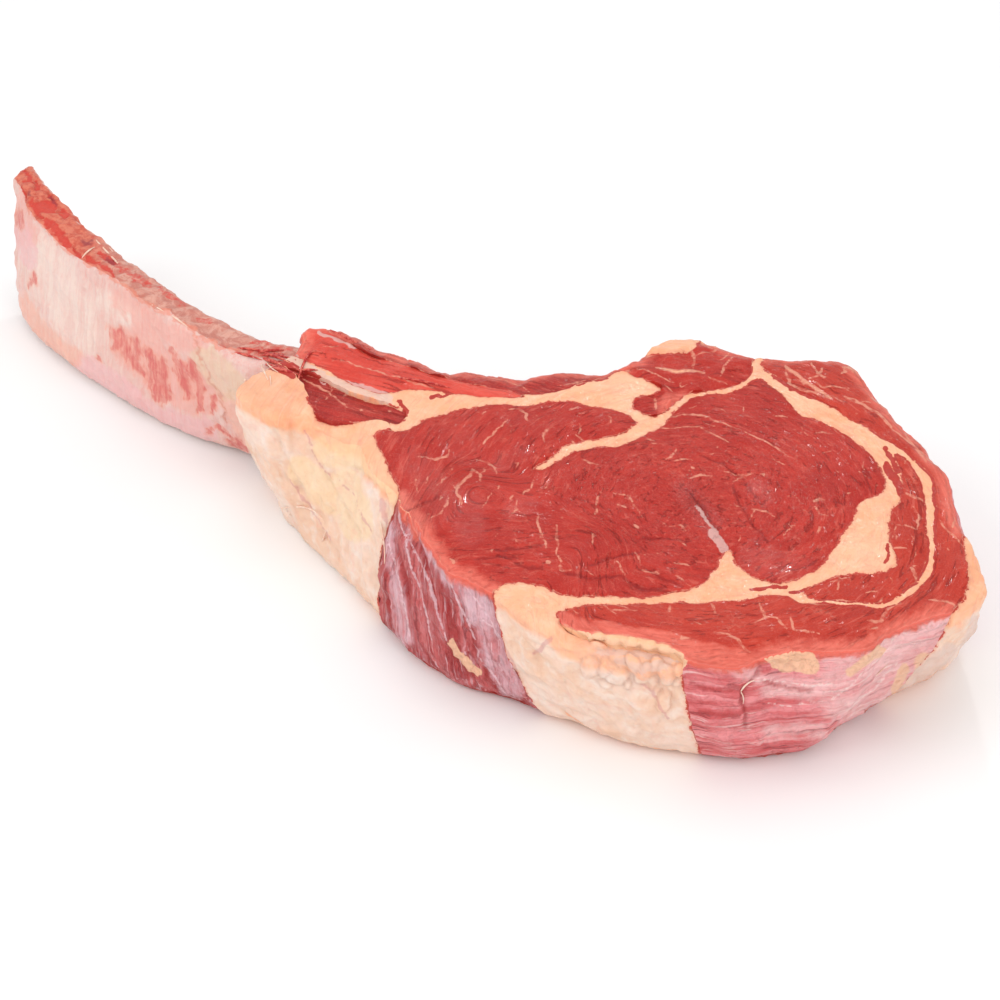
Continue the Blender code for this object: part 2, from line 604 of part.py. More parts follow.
def cut_bed(obj, bed):
    """Cuts the rib's bed out of a piece and keeps the largest body that is left."""
    cut = obj.modifiers.new("bed", "BOOLEAN")
    cut.operation = "DIFFERENCE"
    cut.solver = "EXACT"
    cut.object = bed
    graph = bpy.context.evaluated_depsgraph_get()
    mesh = bpy.data.meshes.new_from_object(obj.evaluated_get(graph))
    obj.modifiers.remove(cut)
    bm = bmesh.new()
    bm.from_mesh(mesh)
    left, bodies = set(bm.verts), []
    while left:
        body, stack = set(), [left.pop()]
        while stack:
            vert = stack.pop()
            body.add(vert)
            for link in vert.link_edges:
                other = link.other_vert(vert)
                if other in left:
                    left.remove(other)
                    stack.append(other)
        bodies.append(body)
    bodies.sort(key=len)
    crumbs = [vert for body in bodies[:-1] for vert in body]
    bmesh.ops.delete(bm, geom=crumbs, context="VERTS")
    bmesh.ops.triangulate(bm, faces=bm.faces[:])
    bm.to_mesh(mesh)
    bm.free()
    obj.data = mesh


def build_steak():
    for obj in list(bpy.data.objects):
        bpy.data.objects.remove(obj)

    outlines = []
    for name, outline, *_ in PIECES:
        curve = closed_curve(outline, PITCH)
        outlines.append((name, curve, curve + GAP * normals_of(curve)))
    curves = [RIM_TOP] + [c for _, curve, grown in outlines for c in (curve, grown)]
    meat_end = np.array(UNDER_MEAT_END, float)
    points, triangles = triangulate(curves, meat_end)
    is_round = round_columns(points, [RIM_TOP] + [curve for _, curve, _ in outlines])
    owned, left = shares(points, triangles, outlines)
    owned["seam_fat"] = left
    middle = points[triangles].mean(axis=1)
    end_x = np.interp(middle[:, 1], meat_end[:, 1], meat_end[:, 0])
    owned["under_rib_meat"] = (owned["finger_meat"] | owned["rear_meat"]) & (middle[:, 0] > end_x)

    rib_mesh, bed_mesh = build_rib()
    bed = add_object("rib_bed", bed_mesh)
    bed.hide_render = True
    bed.display_type = "WIRE"
    finish(add_object("rib_bone", rib_mesh), (0.8, 0.62, 0.52), 0.5)
    for name, _, face, colour, roughness, low, high in PIECES + (UNDER_PIECE, SEAM_FAT):
        mesh = build_prism(name, points, is_round, triangles[owned[name]], face, low, high)
        obj = add_object(name, mesh)
        if name in ON_THE_RIB:
            cut_bed(obj, bed)
        finish(obj, colour, roughness)


build_steak()
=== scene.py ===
"""The looks of a raw tomahawk steak: wet cut muscle with marbling, seams of fat, silverskin
down the sides, and the long rib under its thin membrane.

Every piece keeps the solid's form and gets its fine surface here. Lengths are millimetres
until a mesh is written. A list of photo points is in pixels of the 1000 x 1000 photograph,
and each is carried to the spot of the steak that it shows.
"""

import json
import math

import bpy
import numpy as np
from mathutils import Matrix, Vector
from mathutils.bvhtree import BVHTree
from mathutils.kdtree import KDTree

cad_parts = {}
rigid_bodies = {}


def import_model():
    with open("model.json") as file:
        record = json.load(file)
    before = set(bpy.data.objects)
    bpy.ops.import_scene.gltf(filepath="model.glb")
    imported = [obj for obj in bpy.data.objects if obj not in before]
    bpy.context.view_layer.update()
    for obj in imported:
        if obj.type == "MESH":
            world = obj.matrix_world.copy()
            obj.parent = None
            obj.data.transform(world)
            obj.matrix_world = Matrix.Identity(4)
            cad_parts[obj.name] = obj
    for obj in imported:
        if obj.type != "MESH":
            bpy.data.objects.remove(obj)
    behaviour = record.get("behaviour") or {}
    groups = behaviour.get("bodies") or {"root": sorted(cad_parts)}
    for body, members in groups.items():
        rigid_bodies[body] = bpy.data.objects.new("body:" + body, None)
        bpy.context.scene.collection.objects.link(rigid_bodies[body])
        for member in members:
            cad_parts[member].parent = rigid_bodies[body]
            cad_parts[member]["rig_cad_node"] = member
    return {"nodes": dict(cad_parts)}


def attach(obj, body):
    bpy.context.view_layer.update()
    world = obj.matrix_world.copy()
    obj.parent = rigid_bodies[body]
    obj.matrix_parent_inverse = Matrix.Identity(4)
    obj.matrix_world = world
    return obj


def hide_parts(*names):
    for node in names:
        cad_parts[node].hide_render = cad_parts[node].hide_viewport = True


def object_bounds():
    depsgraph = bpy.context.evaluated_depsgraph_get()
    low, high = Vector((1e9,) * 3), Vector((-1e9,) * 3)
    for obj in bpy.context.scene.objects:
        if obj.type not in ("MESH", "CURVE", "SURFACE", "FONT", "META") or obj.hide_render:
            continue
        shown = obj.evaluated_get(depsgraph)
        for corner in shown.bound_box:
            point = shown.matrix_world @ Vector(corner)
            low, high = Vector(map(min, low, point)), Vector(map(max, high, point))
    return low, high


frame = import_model()
cad_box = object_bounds()
bpy.ops.object.select_all(action="DESELECT")

# --- the table top, the light and the view -----------------------------------------------
# A white table between two wide windows, so that the light is even and shadows are faint,
# and a small lamp that puts glints on what is wet. The steak is seen over its front edge,
# with the rib running off to the upper left.
MM = 0.001
PHOTO_SIDE = 1000
LENS = 90.0
SENSOR = 36.0
VIEW_TURN = math.radians(34)
VIEW_LIFT = math.radians(38)
VIEW_DISTANCE = 735.3
VIEW_AIM = Vector((0, 0, 25))

ahead = Vector((-math.sin(VIEW_TURN), math.cos(VIEW_TURN), 0))
sight = ahead * math.cos(VIEW_LIFT) - Vector((0, 0, math.sin(VIEW_LIFT)))
eye_point = VIEW_AIM - sight * VIEW_DISTANCE
sight_right = Vector((math.cos(VIEW_TURN), math.sin(VIEW_TURN), 0))
sight_up = sight_right.cross(sight)

bpy.ops.object.camera_add(location=eye_point * MM)
camera = bpy.context.object
camera.name = "view"
camera.data.lens = LENS
camera.data.sensor_width = SENSOR
camera.rotation_euler = sight.to_track_quat("-Z", "Y").to_euler()
bpy.context.scene.camera = camera
bpy.context.scene.view_settings.view_transform = "Standard"

LAMPS = (       # name, place, side and power; each shines at the steak
    ("left_window", (-420, -640, 640), 700, 3.0),
    ("right_window", (760, -330, 620), 700, 2.95),
    ("overhead", (-60, 120, 980), 500, 1.1),
    ("spark", (-230, 560, 600), 40, 0.7),
)
for name, place, side, power in LAMPS:
    bpy.ops.object.light_add(type="AREA", location=Vector(place) * MM)
    light = bpy.context.object
    light.name = name
    light.data.size = side * MM
    light.data.energy = power
    light.rotation_euler = (VIEW_AIM - Vector(place)).to_track_quat("-Z", "Y").to_euler()

ROOM_LIGHT = 0.72
world = bpy.data.worlds.new("white_room")
world.use_nodes = True
background = world.node_tree.nodes["Background"]
background.inputs["Color"].default_value = (1, 1, 1, 1)
background.inputs["Strength"].default_value = ROOM_LIGHT
bpy.context.scene.world = world

TABLE_SIDE = 6000
TABLE_WHITE = 0.93
bpy.ops.mesh.primitive_plane_add(size=TABLE_SIDE * MM)
table = bpy.context.object
table.name = "table_top"
white = bpy.data.materials.new("white_board")
white.use_nodes = True
board = white.node_tree.nodes["Principled BSDF"]
board.inputs["Base Color"].default_value = (*(TABLE_WHITE,) * 3, 1)
board.inputs["Roughness"].default_value = 0.7
board.inputs["Specular IOR Level"].default_value = 0.2
table.data.materials.append(white)

# --- how each solid gets its fine surface -------------------------------------------------
# The steak is one slice through muscles and fat that have grown together, so the pieces share
# one field of lumps and one sideways wander: neighbours stay in touch all over, and the
# hair-wide slits between the solids close.
CUT, SIDE, UNDER, HIDDEN = range(4)      # where a face lies: the values of its material index
FINE = {CUT: 0.5, SIDE: 0.7, UNDER: 1.5, HIDDEN: 9.0}     # wanted edge lengths
TOUCH = 0.9              # a wall this close to another piece is out of sight
HALF_WAY = 0.5           # each side of a slit moves this share of the way over,
OVERLAP = 0.2            # and this much further
WELD = 0.01              # corners of the solid closer than this are one
FACES_IT = 0.5           # a wall that looks at its neighbour this squarely is hidden
UPRIGHT = 0.7            # a wall's normal rises less than this,
LEVEL = 0.55             # and a level face's normal rises or falls more than this
TOO_LONG = 1.5           # an edge this many times its wanted length is halved
EVENING = 7              # rounds of evening out
FLUSH = (0.1, 1.4)       # relief starts and is full this far from a neighbour
FAR_OFF = 30.0           # stands for any longer distance
INSET = 0.01             # the surface stays this far inside the solids' box
WANDER = ((0.6, 9.0, 11), (0.4, 3.4, 21), (0.3, 1.5, 31))     # height, width, seed
RAGGED = ((1.0, 2.6, 91), (0.7, 1.2, 93))
BEAD_STRAY = ((4.5, 4.5, 86), (1.2, 1.6, 88))
BEAD_CREASE = 1.5        # half width of the painted crease shade round a bead, in pixels
LOW_CORNER = np.array(cad_box[0]) / MM
HIGH_CORNER = np.array(cad_box[1]) / MM
TILT = np.array(((0.36, 0.48, -0.8), (-0.8, 0.6, 0.0), (0.48, 0.64, 0.6)))


def cloud(points, size, seed):
    """Soft noise between -1 and 1, with lumps about `size` wide."""
    table = np.random.default_rng(seed).uniform(-1, 1, (32, 32, 32))
    place = points @ TILT / size
    low = np.floor(place).astype(int)
    part = place - low
    part = part * part * (3 - 2 * part)
    total = np.zeros(len(points))
    for corner in np.ndindex(2, 2, 2):
        weight = np.prod(np.where(corner, part, 1 - part), axis=1)
        i, j, k = ((low + corner) % 32).T
        total += weight * table[i, j, k]
    return total


def layered(points, layers):
    """Several soft noises added up, each given as its height, the width of a lump and a seed."""
    return sum(height * cloud(points, width, seed) for height, width, seed in layers)


def sideways(points, layers):
    """Two such sums, as a drift in two directions."""
    return np.column_stack([layered(points, [(height, width, seed + axis)
                                             for height, width, seed in layers]) for axis in (0, 1)])


def ramp(value, start, end):
    """0 before `start`, 1 after `end`, smooth in between; `end` may be the smaller."""
    share = np.clip((value - start) / (end - start), 0, 1)
    return share * share * (3 - 2 * share)


def read(mesh, what, count, width, dtype=float):
    """One array of a mesh's values."""
    data = np.empty(count * width, np.int32 if dtype is int else np.float32)
    getattr(mesh, what[0]).foreach_get(what[1], data)
    return data.astype(dtype).reshape(-1, width) if width > 1 else data.astype(dtype)


def points_of(mesh):
    return read(mesh, ("vertices", "co"), len(mesh.vertices), 3) / MM


def set_points(mesh, points):
    mesh.vertices.foreach_set("co", (points * MM).astype(np.float32).ravel())
    mesh.update()


def keep(mesh, name, values, kind="FLOAT"):
    """Stores a value for each point, which the materials read by name."""
    attribute = mesh.attributes.new(name, kind, "POINT")
    field = "value" if kind == "FLOAT" else "vector"
    attribute.data.foreach_set(field, np.asarray(values, np.float32).ravel())


def edges_of(mesh):
    return read(mesh, ("edges", "vertices"), len(mesh.edges), 2, int)


def solid_tree(names):
    """The surface of some solids, for finding the spot nearest to a point or on a line."""
    points, faces = [], []
    for name in names:
        mesh = frame["nodes"][name].data
        start = len(points)
        points += [v.co / MM for v in mesh.vertices]
        faces += [[start + i for i in p.vertices] for p in mesh.polygons]
    return BVHTree.FromPolygons(points, faces)


whole_steak = solid_tree(frame["nodes"])


def shown_at(pixels):
    """The spots of the steak that these points of the photograph show."""
    found = []
    for x, y in pixels:
        across = (x - PHOTO_SIDE / 2) / PHOTO_SIDE * SENSOR / LENS
        down = (y - PHOTO_SIDE / 2) / PHOTO_SIDE * SENSOR / LENS
        ray = sight + sight_right * across - sight_up * down
        spot = whole_steak.ray_cast(eye_point, ray)[0]
        if spot is None:        # just past the outline
            spot = whole_steak.find_nearest(eye_point + ray * VIEW_DISTANCE)[0]
        found.append(spot)
    return np.array(found)


def pixels_of(points):
    """Where each point lies in the photograph."""
    offset = points - np.array(eye_point)
    depth = offset @ np.array(sight)
    scale = PHOTO_SIDE * LENS / SENSOR / depth
    return np.column_stack((PHOTO_SIDE / 2 + offset @ np.array(sight_right) * scale,
                            PHOTO_SIDE / 2 - offset @ np.array(sight_up) * scale))


def away_from(points, line):
    """How far each point is from a line, and how far along it the nearest spot is."""
    best = np.full(len(points), 1e9)
    share = np.zeros(len(points))
    line = np.asarray(line, float)
    for i, (a, b) in enumerate(zip(line[:-1], line[1:])):
        way = b - a
        along = np.clip((points - a) @ way / max(way @ way, 1e-9), 0, 1)
        far = np.linalg.norm(points - a - along[:, None] * way, axis=1)
        nearer = far < best
        best[nearer] = far[nearer]
        share[nearer] = (i + along[nearer]) / (len(line) - 1)
    return best, share


def label_sides(piece, others):
    """Notes for each face whether it is cut face, outer side, underside or out of sight."""
    mesh = piece.data
    for face in mesh.polygons:
        centre = face.center / MM
        spot = others.find_nearest(centre, TOUCH)[0]
        across = spot is not None and (spot - centre).normalized().dot(face.normal) > FACES_IT
        if across and abs(face.normal.z) < UPRIGHT:
            face.material_index = HIDDEN
        elif face.normal.z > LEVEL:
            face.material_index = CUT
        elif face.normal.z < -LEVEL:
            face.material_index = UNDER
        else:
            face.material_index = SIDE


def refine(mesh, fine):
    """Halves the edges that are longer than their faces ask for, until none is left."""
    bpy.context.tool_settings.mesh_select_mode = (False, True, False)
    while True:
        points = points_of(mesh)
        edges = edges_of(mesh)
        wanted = np.full(len(edges), fine[HIDDEN])
        corners = read(mesh, ("loops", "edge_index"), len(mesh.loops), 1, int)
        sizes = read(mesh, ("polygons", "loop_total"), len(mesh.polygons), 1, int)
        sides = read(mesh, ("polygons", "material_index"), len(mesh.polygons), 1, int)
        lengths = np.array([fine[side] for side in FINE])
        np.minimum.at(wanted, corners, lengths[np.repeat(sides, sizes)])
        length = np.linalg.norm(points[edges[:, 0]] - points[edges[:, 1]], axis=1)
        chosen = length > wanted * TOO_LONG
        if not chosen.any():
            return
        for kind, count in (("vertices", len(points)), ("polygons", len(mesh.polygons))):
            getattr(mesh, kind).foreach_set("select", np.zeros(count, bool))
        mesh.edges.foreach_set("select", chosen)
        bpy.ops.object.mode_set(mode="EDIT")
        bpy.ops.mesh.subdivide(number_cuts=1, ngon=False)
        bpy.ops.mesh.select_all(action="SELECT")
        bpy.ops.mesh.quads_convert_to_tris(quad_method="SHORTEST_DIAGONAL")
        bpy.ops.object.mode_set(mode="OBJECT")


def face_arrays(mesh):
    faces = read(mesh, ("loops", "vertex_index"), len(mesh.loops), 1, int).reshape(-1, 3)
    sides = read(mesh, ("polygons", "material_index"), len(mesh.polygons), 1, int)
    return faces, sides


def face_normals(points, faces):
    a, b, c = (points[faces[:, i]] for i in range(3))
    return np.cross(b - a, c - a)


def gather(values, faces, count):
    """Adds up for each point the values of the faces round it."""
    total = np.zeros((count, 3))
    for corner in range(3):
        for axis in range(3):
            total[:, axis] += np.bincount(faces[:, corner], values[:, axis], count)
    return total


def unit(vectors):
    return vectors / np.maximum(np.linalg.norm(vectors, axis=1), 1e-9)[:, None]


def crease_edges(mesh):
    """Which edges part a face that is out of sight from one that shows."""
    sides = face_arrays(mesh)[1]
    corners = read(mesh, ("loops", "edge_index"), len(mesh.loops), 1, int)
    hidden = np.repeat(sides == HIDDEN, 3)
    total = np.bincount(corners, hidden, len(mesh.edges))
    return total == 1


def relax(points, edges, creases, rounds):
    """Evens out facets. A point on a crease only follows its neighbours along the crease."""
    on_crease = np.zeros(len(points), bool)
    on_crease[edges[creases].ravel()] = True
    for _ in range(rounds):
        total = np.zeros_like(points)
        count = np.zeros(len(points))
        for here, there in ((0, 1), (1, 0)):
            used = creases | ~on_crease[edges[:, here]]
            owner, other = edges[used, here], edges[used, there]
            count += np.bincount(owner, minlength=len(points))
            for axis in range(3):
                total[:, axis] += np.bincount(owner, points[other, axis], len(points))
        points = points + 0.5 * (total / np.maximum(count, 1)[:, None] - points)
    return points


def wander(points):
    """The sideways drift that all the pieces share, so that borders are never ruled lines."""
    shift = np.zeros_like(points)
    shift[:, :2] = sideways(points, WANDER)
    return shift


class Flesh:
    """One piece while its surface is being made: its points, and which of them lie where."""

    def __init__(self, node, name, fine=FINE, kin=()):
        source = frame["nodes"][node]
        self.node = node
        self.ragged = 1.5       # how far the edges of marks stray, in pixels of the photo
        self.piece = source.copy()
        self.piece.data = source.data.copy()
        self.piece.name = name
        del self.piece["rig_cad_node"]
        self.piece.parent = None
        bpy.context.scene.collection.objects.link(self.piece)
        self.mesh = self.piece.data
        self.mesh.materials.clear()
        bpy.ops.object.select_all(action="DESELECT")
        self.piece.select_set(True)
        bpy.context.view_layer.objects.active = self.piece
        bpy.ops.object.mode_set(mode="EDIT")
        bpy.ops.mesh.select_all(action="SELECT")
        bpy.ops.mesh.remove_doubles(threshold=WELD * MM)
        bpy.ops.object.mode_set(mode="OBJECT")
        others = solid_tree([n for n in frame["nodes"] if n != node])
        for _ in FINE:
            self.mesh.materials.append(None)
        label_sides(self.piece, others)
        refine(self.mesh, fine)
        self.faces, self.sides = face_arrays(self.mesh)
        self.creases = crease_edges(self.mesh)
        self.points = points_of(self.mesh)
        hidden = self.near(HIDDEN)
        border = np.flatnonzero(hidden & (self.near(CUT) | self.near(SIDE) | self.near(UNDER)))
        strangers = solid_tree([n for n in frame["nodes"] if n != node and n not in kin])
        self.strange = [i for i in border
                        if strangers.find_nearest(Vector(self.points[i]), TOUCH)[0] is not None]
        self.close_up(others)
        self.points = relax(self.points, edges_of(self.mesh), self.creases, EVENING)
        self.points += wander(self.points)
        self.settle()

    def near(self, side):
        """Marks the points that a face of this kind touches."""
        marked = np.zeros(len(self.points), bool)
        marked[self.faces[self.sides == side].ravel()] = True
        return marked

    def close_up(self, others):
        """Moves the walls that face a neighbour half way over, so that the slit shuts."""
        for i in np.flatnonzero(self.near(HIDDEN)):
            spot = others.find_nearest(Vector(self.points[i]), TOUCH)[0]
            if spot is not None:
                way = np.array(spot) - self.points[i]
                far = max(np.linalg.norm(way), 1e-6)
                self.points[i] += way * (HALF_WAY + OVERLAP / far)

    def settle(self):
        """Works out the normals, and how far each point is from the edge of its face."""
        self.normals = unit(gather(face_normals(self.points, self.faces), self.faces,
                                   len(self.points)))
        self.cut = self.near(CUT)
        self.side = self.near(SIDE) & ~self.cut
        self.pixels = pixels_of(self.points)
        self.facing = ramp(-self.normals @ np.array(sight), 0.0, 0.2)
        self.to_border = self.distance_to(self.strange)
        self.to_rim = self.distance_to(np.flatnonzero(self.cut & self.near(SIDE)))

    def distance_to(self, chosen):
        """Each point's distance to the nearest of the chosen points."""
        far = np.full(len(self.points), FAR_OFF)
        if len(chosen):
            tree = KDTree(len(chosen))
            for i in chosen:
                tree.insert(Vector(self.points[i]), int(i))
            tree.balance()
            shown = np.flatnonzero(self.near(CUT) | self.near(SIDE) | self.near(UNDER))
            far[shown] = [tree.find(Vector(self.points[i]))[2] for i in shown]
        return far

    def raise_by(self, heights, where=None):
        """Moves points out along their normals, and keeps the edges of the cut face flush."""
        calm = ramp(self.to_border, *FLUSH)
        if where is not None:
            heights = heights * where
        self.points += self.normals * (heights * calm)[:, None]

    def mark(self, line, width, soft):
        """How much of a line drawn on the photograph lies on each point, from 0 to 1."""
        line = np.asarray(line, float)
        shown = np.zeros(len(self.points))
        reach = ((self.pixels > line.min(0) - width - soft) &
                 (self.pixels < line.max(0) + width + soft)).all(1)
        if reach.any():
            spots = self.pixels[reach] + self.ragged * sideways(self.points[reach], RAGGED)
            shown[reach] = ramp(away_from(spots, line)[0], width + soft, width)
        return shown * self.facing

    def marks(self, lines):
        """The strongest of several marks, each given as width, softness and its points."""
        shown = np.zeros(len(self.points))
        for width, soft, *line in lines:
            if len(line) == 1:
                line = line * 2
            shown = np.maximum(shown, self.mark(line, width, soft))
        return shown

    def press(self, lines, depth):
        """Presses creases along lines drawn on the photograph."""
        for width, *line in lines:
            far, along = away_from(self.pixels, line)
            ends = np.sqrt(np.sin(math.pi * np.clip(along, 0.02, 0.98)))
            self.raise_by(-depth * np.exp(-(far / width) ** 2) * ends, self.facing)

    def bead(self, spots, rise):
        """Raises round beads, each given as its pixel and radius, and returns the rings round them where
        crease shade is painted.
        """
        height = np.zeros(len(self.points))
        ring = np.zeros(len(self.points))
        strayed = self.pixels + sideways(self.points, BEAD_STRAY)
        for x, y, radius in spots:
            far = np.hypot(strayed[:, 0] - x, strayed[:, 1] - y)
            rises = np.sqrt(np.clip(1 - (far / radius) ** 2, 0, 1)) * radius * rise
            ring = np.maximum(ring * (rises <= 0), np.exp(-((far - radius) / BEAD_CREASE) ** 2))
            height = np.maximum(height, rises)
        self.raise_by(height, self.facing)
        return ring * self.facing

    def finish(self, materials, slot):
        """Writes the points back, inside the solid's box, and sets the finish."""
        set_points(self.mesh, np.clip(self.points, LOW_CORNER + INSET, HIGH_CORNER - INSET))
        for index, material in enumerate(materials):
            self.mesh.materials[index] = material
        self.mesh.shade_smooth()
        sharp = self.mesh.attributes.new("sharp_edge", "BOOLEAN", "EDGE")
        sharp.data.foreach_set("value", self.creases)
        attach(self.piece, "root")
        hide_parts(self.node)


# --- the fibres and the marbling ----------------------------------------------------------
# The muscle fibres are cut nearly across and lie over in curls round one swirl, where a
# groove of silverskin ends. Fat runs between the bundles as fine forked veins.
SWIRL = np.array((62.0, 6.0))
GRAIN_WIDTH = 1.5
ALONG_RINGS = 7.5        # how fast the rings' fibres change along their length,
ALONG_WALLS = 4.5        # and those of the walls
WALLS_ROUND = 55.0       # where along the steak the walls' fibres have their middle
STRETCH = 0.93           # how much of a direction's length is taken out along the fibres


def grain_round(points, centre):
    """Coordinates across and along the fibres: rings round the swirl, without a join."""
    offset = points[:, :2] - centre
    radius = np.linalg.norm(offset, axis=1)
    heading = offset / np.maximum(radius, 1e-6)[:, None]
    return np.column_stack((radius / GRAIN_WIDTH, heading * ALONG_RINGS))


def grain_of_cut(points):
    """The fibres' course over the whole cut face: rings, and straight in the front left."""
    rings = grain_round(points, SWIRL)
    x, y = points[:, 0], points[:, 1]
    straight = np.column_stack((5 + (0.559 * x - 0.829 * y) / GRAIN_WIDTH, 0.14 * (x + y) - 4,
                                np.full(len(points), -4.0)))
    share = (ramp(y, -10, -27) * ramp(x, 64, 42) * ramp(x, -8, 12))[:, None]
    return rings * (1 - share) + straight * share


def grain_of_walls(points, way=None):
    """The fibres' course over the outer walls: along `way`, or else level round the steak."""
    if way is not None:
        way = np.asarray(way) / np.linalg.norm(way)
        return (points - STRETCH * (points @ way)[:, None] * way) / GRAIN_WIDTH
    turn = np.arctan2(points[:, 1], points[:, 0] - WALLS_ROUND)
    return np.column_stack((points[:, 2] / GRAIN_WIDTH, np.cos(turn) * ALONG_WALLS,
                            np.sin(turn) * ALONG_WALLS))


VEINS = (        # on the cut face, in mm: half width, then the points
    (0.45, (32, 33), (38, 39), (45, 41), (60, 41), (68, 40), (74, 38)),
    (0.4, (35, 30), (40, 33), (45, 36), (52, 35), (56, 34)),
    (0.55, (-5, 12), (-3, 14), (0, 13.5), (1.5, 11)), (0.5, (0, 14), (1, 12), (3, 10)),
    (0.45, (-2.5, 8), (-2.2, 2), (-2.6, -3), (-2, -6)),
    (0.55, (0, -12.5), (3, -12), (6, -12.5), (8.5, -14.5)),
    (0.7, (2, -17), (3.5, -20), (3, -25), (4.5, -28.5)), (0.5, (2, -17), (5, -18), (7, -20)),
    (0.6, (4, -28), (6.5, -30), (8.5, -32)), (0.45, (3, -27), (0, -26)),
    (0.45, (4, -31.5), (5, -34.5), (6, -38), (4.5, -41)),
    (0.6, (-8, -14), (-7, -17), (-9, -20), (-14, -21)),
    (0.4, (17, 14), (20, 13), (23, 13.6)), (0.35, (16, 18), (18, 14.5)),
    (0.4, (10, 12), (9.5, 8), (12, 5)), (0.5, (25, 5), (28, 4.5), (31, 5.5)),
    (0.4, (19, -11), (20.5, -15), (20.5, -19)), (0.35, (23, -10), (24.5, -13)),
    (0.45, (41, -4), (45, -2), (48, -4.5), (53, -8)), (0.45, (38, -7), (40, -11), (42, -15)),
    (0.5, (44, -7.5), (47, -7.2)), (0.35, (20, -22), (22, -25), (23, -29)),
    (0.45, (28.5, -23), (29.5, -26), (33, -29), (36, -31)), (0.35, (36, -31), (38, -34)),
    (0.45, (41, -34), (44, -36), (46.5, -39), (48.5, -38)), (0.7, (53, -12), (54.5, -12.5)),
    (0.9, (53.2, 18.2), (54.2, 18)), (0.5, (55, 14), (57, 17), (60, 18.5)),
    (0.4, (45, 16), (46, 19), (45, 24)), (0.4, (47, 18), (49, 20), (51, 21)),
    (0.4, (66, 20), (67, 24), (69, 27)), (0.35, (61, 22), (67, 24)),
    (0.5, (89, 24), (90, 26.5), (91.5, 27)), (0.4, (90, 23), (92.5, 21), (96, 22)),
    (0.45, (76, 12), (80, 14), (83, 13)), (0.35, (70, 10), (74, 12)),
    (0.4, (60, -8), (63, -5), (66, -6)), (0.4, (66, -10), (70, -12)),
    (0.8, (41, -38), (42.2, -38.6)), (0.4, (60, 53), (64, 55)), (0.35, (80, 46), (83, 49)),
    (0.35, (44, 45), (46, 47), (50, 46)), (0.35, (70, 35), (76, 34)),
)
CAP_VEINS = (
    (0.55, (52, 75), (57, 70), (70, 70)), (0.9, (105, -13), (112, -8), (120, -4), (126, -2)),
    (1.0, (126, -3), (128.5, 5), (128, 12), (124, 16)), (0.7, (126, -2), (127, -8), (124, -10)),
    (0.6, (106, -13), (110, -12), (113, -9)), (0.45, (62, -45), (66, -42), (70, -42)),
    (0.45, (66, -45), (72, -41.5)), (0.7, (78, -34), (79, -37)), (0.5, (86, -27), (90, -31)),
    (0.5, (96, -19), (101, -24), (104, -23), (108, -25)), (0.45, (101, -24), (100, -28)),
    (0.45, (106, -20), (110, -24), (116, -22)), (0.45, (93, -37), (99, -36), (104, -38)),
    (0.5, (112, 40), (116, 36), (118, 31)), (0.6, (108, 44), (112, 43), (116, 44)),
    (0.5, (122, 38), (127, 35), (131, 33)), (0.6, (134, 6), (138, 9), (141, 9)),
    (0.5, (72, 78), (66, 74), (60, 75)), (0.6, (61, 82), (62, 78), (60, 75)),
    (0.5, (88, 70), (98, 66), (110, 60)), (0.4, (110, 8), (113, 11), (118, 12)),
    (0.4, (108, -2), (112, 3)), (0.4, (120, 22), (116, 20)), (0.4, (113, 30), (118, 31)),
)
BACK_VEINS = (
    (1.3, (20, 54), (26, 56), (33, 60)), (0.5, (36, 72), (36.5, 66), (38, 60)),
    (0.5, (30, 76), (29, 70), (26, 66)), (0.5, (22, 70), (27, 64), (30, 58)),
    (0.4, (33, 75), (34, 68)), (0.4, (15, 50), (22, 51), (28, 51)), (0.5, (27, 42), (30, 37)),
)
STRIP_VEINS = (
    (0.5, (-60, 4), (-45, 6), (-30, 9)), (0.4, (-20, 24), (-12, 26), (-6, 24)),
    (0.4, (-38, 19), (-30, 20)), (0.5, (-66, -7.5), (-56, -9), (-46, -12)),
)


def random_flecks(seed, count, box):
    """Short strokes of fat that lie along the fibres, some of them forked."""
    draw = np.random.default_rng(seed)
    strokes = []
    for _ in range(count):
        start = draw.uniform(box[0], box[1])
        away = start - SWIRL
        way = np.array((-away[1], away[0])) / max(np.linalg.norm(away), 1.0)
        way = way + draw.normal(0, 0.55, 2)
        length = draw.uniform(1.2, 5.0)
        bend = draw.normal(0, 0.5, 2)
        strokes.append((draw.uniform(0.12, 0.42), start, start + way * length / 2 + bend,
                        start + way * length + bend * 0.4))
    return strokes


VEIN_STRAY = ((0.45, 2.6, 5), (0.3, 1.1, 7))
VEIN_REACH = 3
NO_VEIN = 9.0            # stands for no vein, or no border, near


def veins_at(points, strokes):
    """The distance from each point to the nearest vein's edge, less than zero inside it."""
    depth = np.full(len(points), NO_VEIN)
    flat = points[:, :2] + sideways(points, VEIN_STRAY)
    for half, *line in strokes:
        line = np.asarray(line, float)
        reach = ((flat > line.min(0) - VEIN_REACH) & (flat < line.max(0) + VEIN_REACH)).all(1)
        if reach.any():
            far, along = away_from(flat[reach], line)
            taper = 0.6 * half * (0.35 + 0.8 * np.sqrt(np.sin(math.pi * np.clip(along, 0, 1))))
            depth[reach] = np.minimum(depth[reach], far - taper)
    return depth


# --- materials ----------------------------------------------------------------------------
# Muscle, fat and skin are wet, a little translucent and uneven in colour at every scale.
# Each finish lays thin colours over one another where the surface's stored masks say so.
PER_MM = 1000.0
SPECULAR = 0.16
COAT_ROUGHNESS = 0.1
GLOSS_DEPTH = 1.1        # relief of the wet film that lies over the fibres


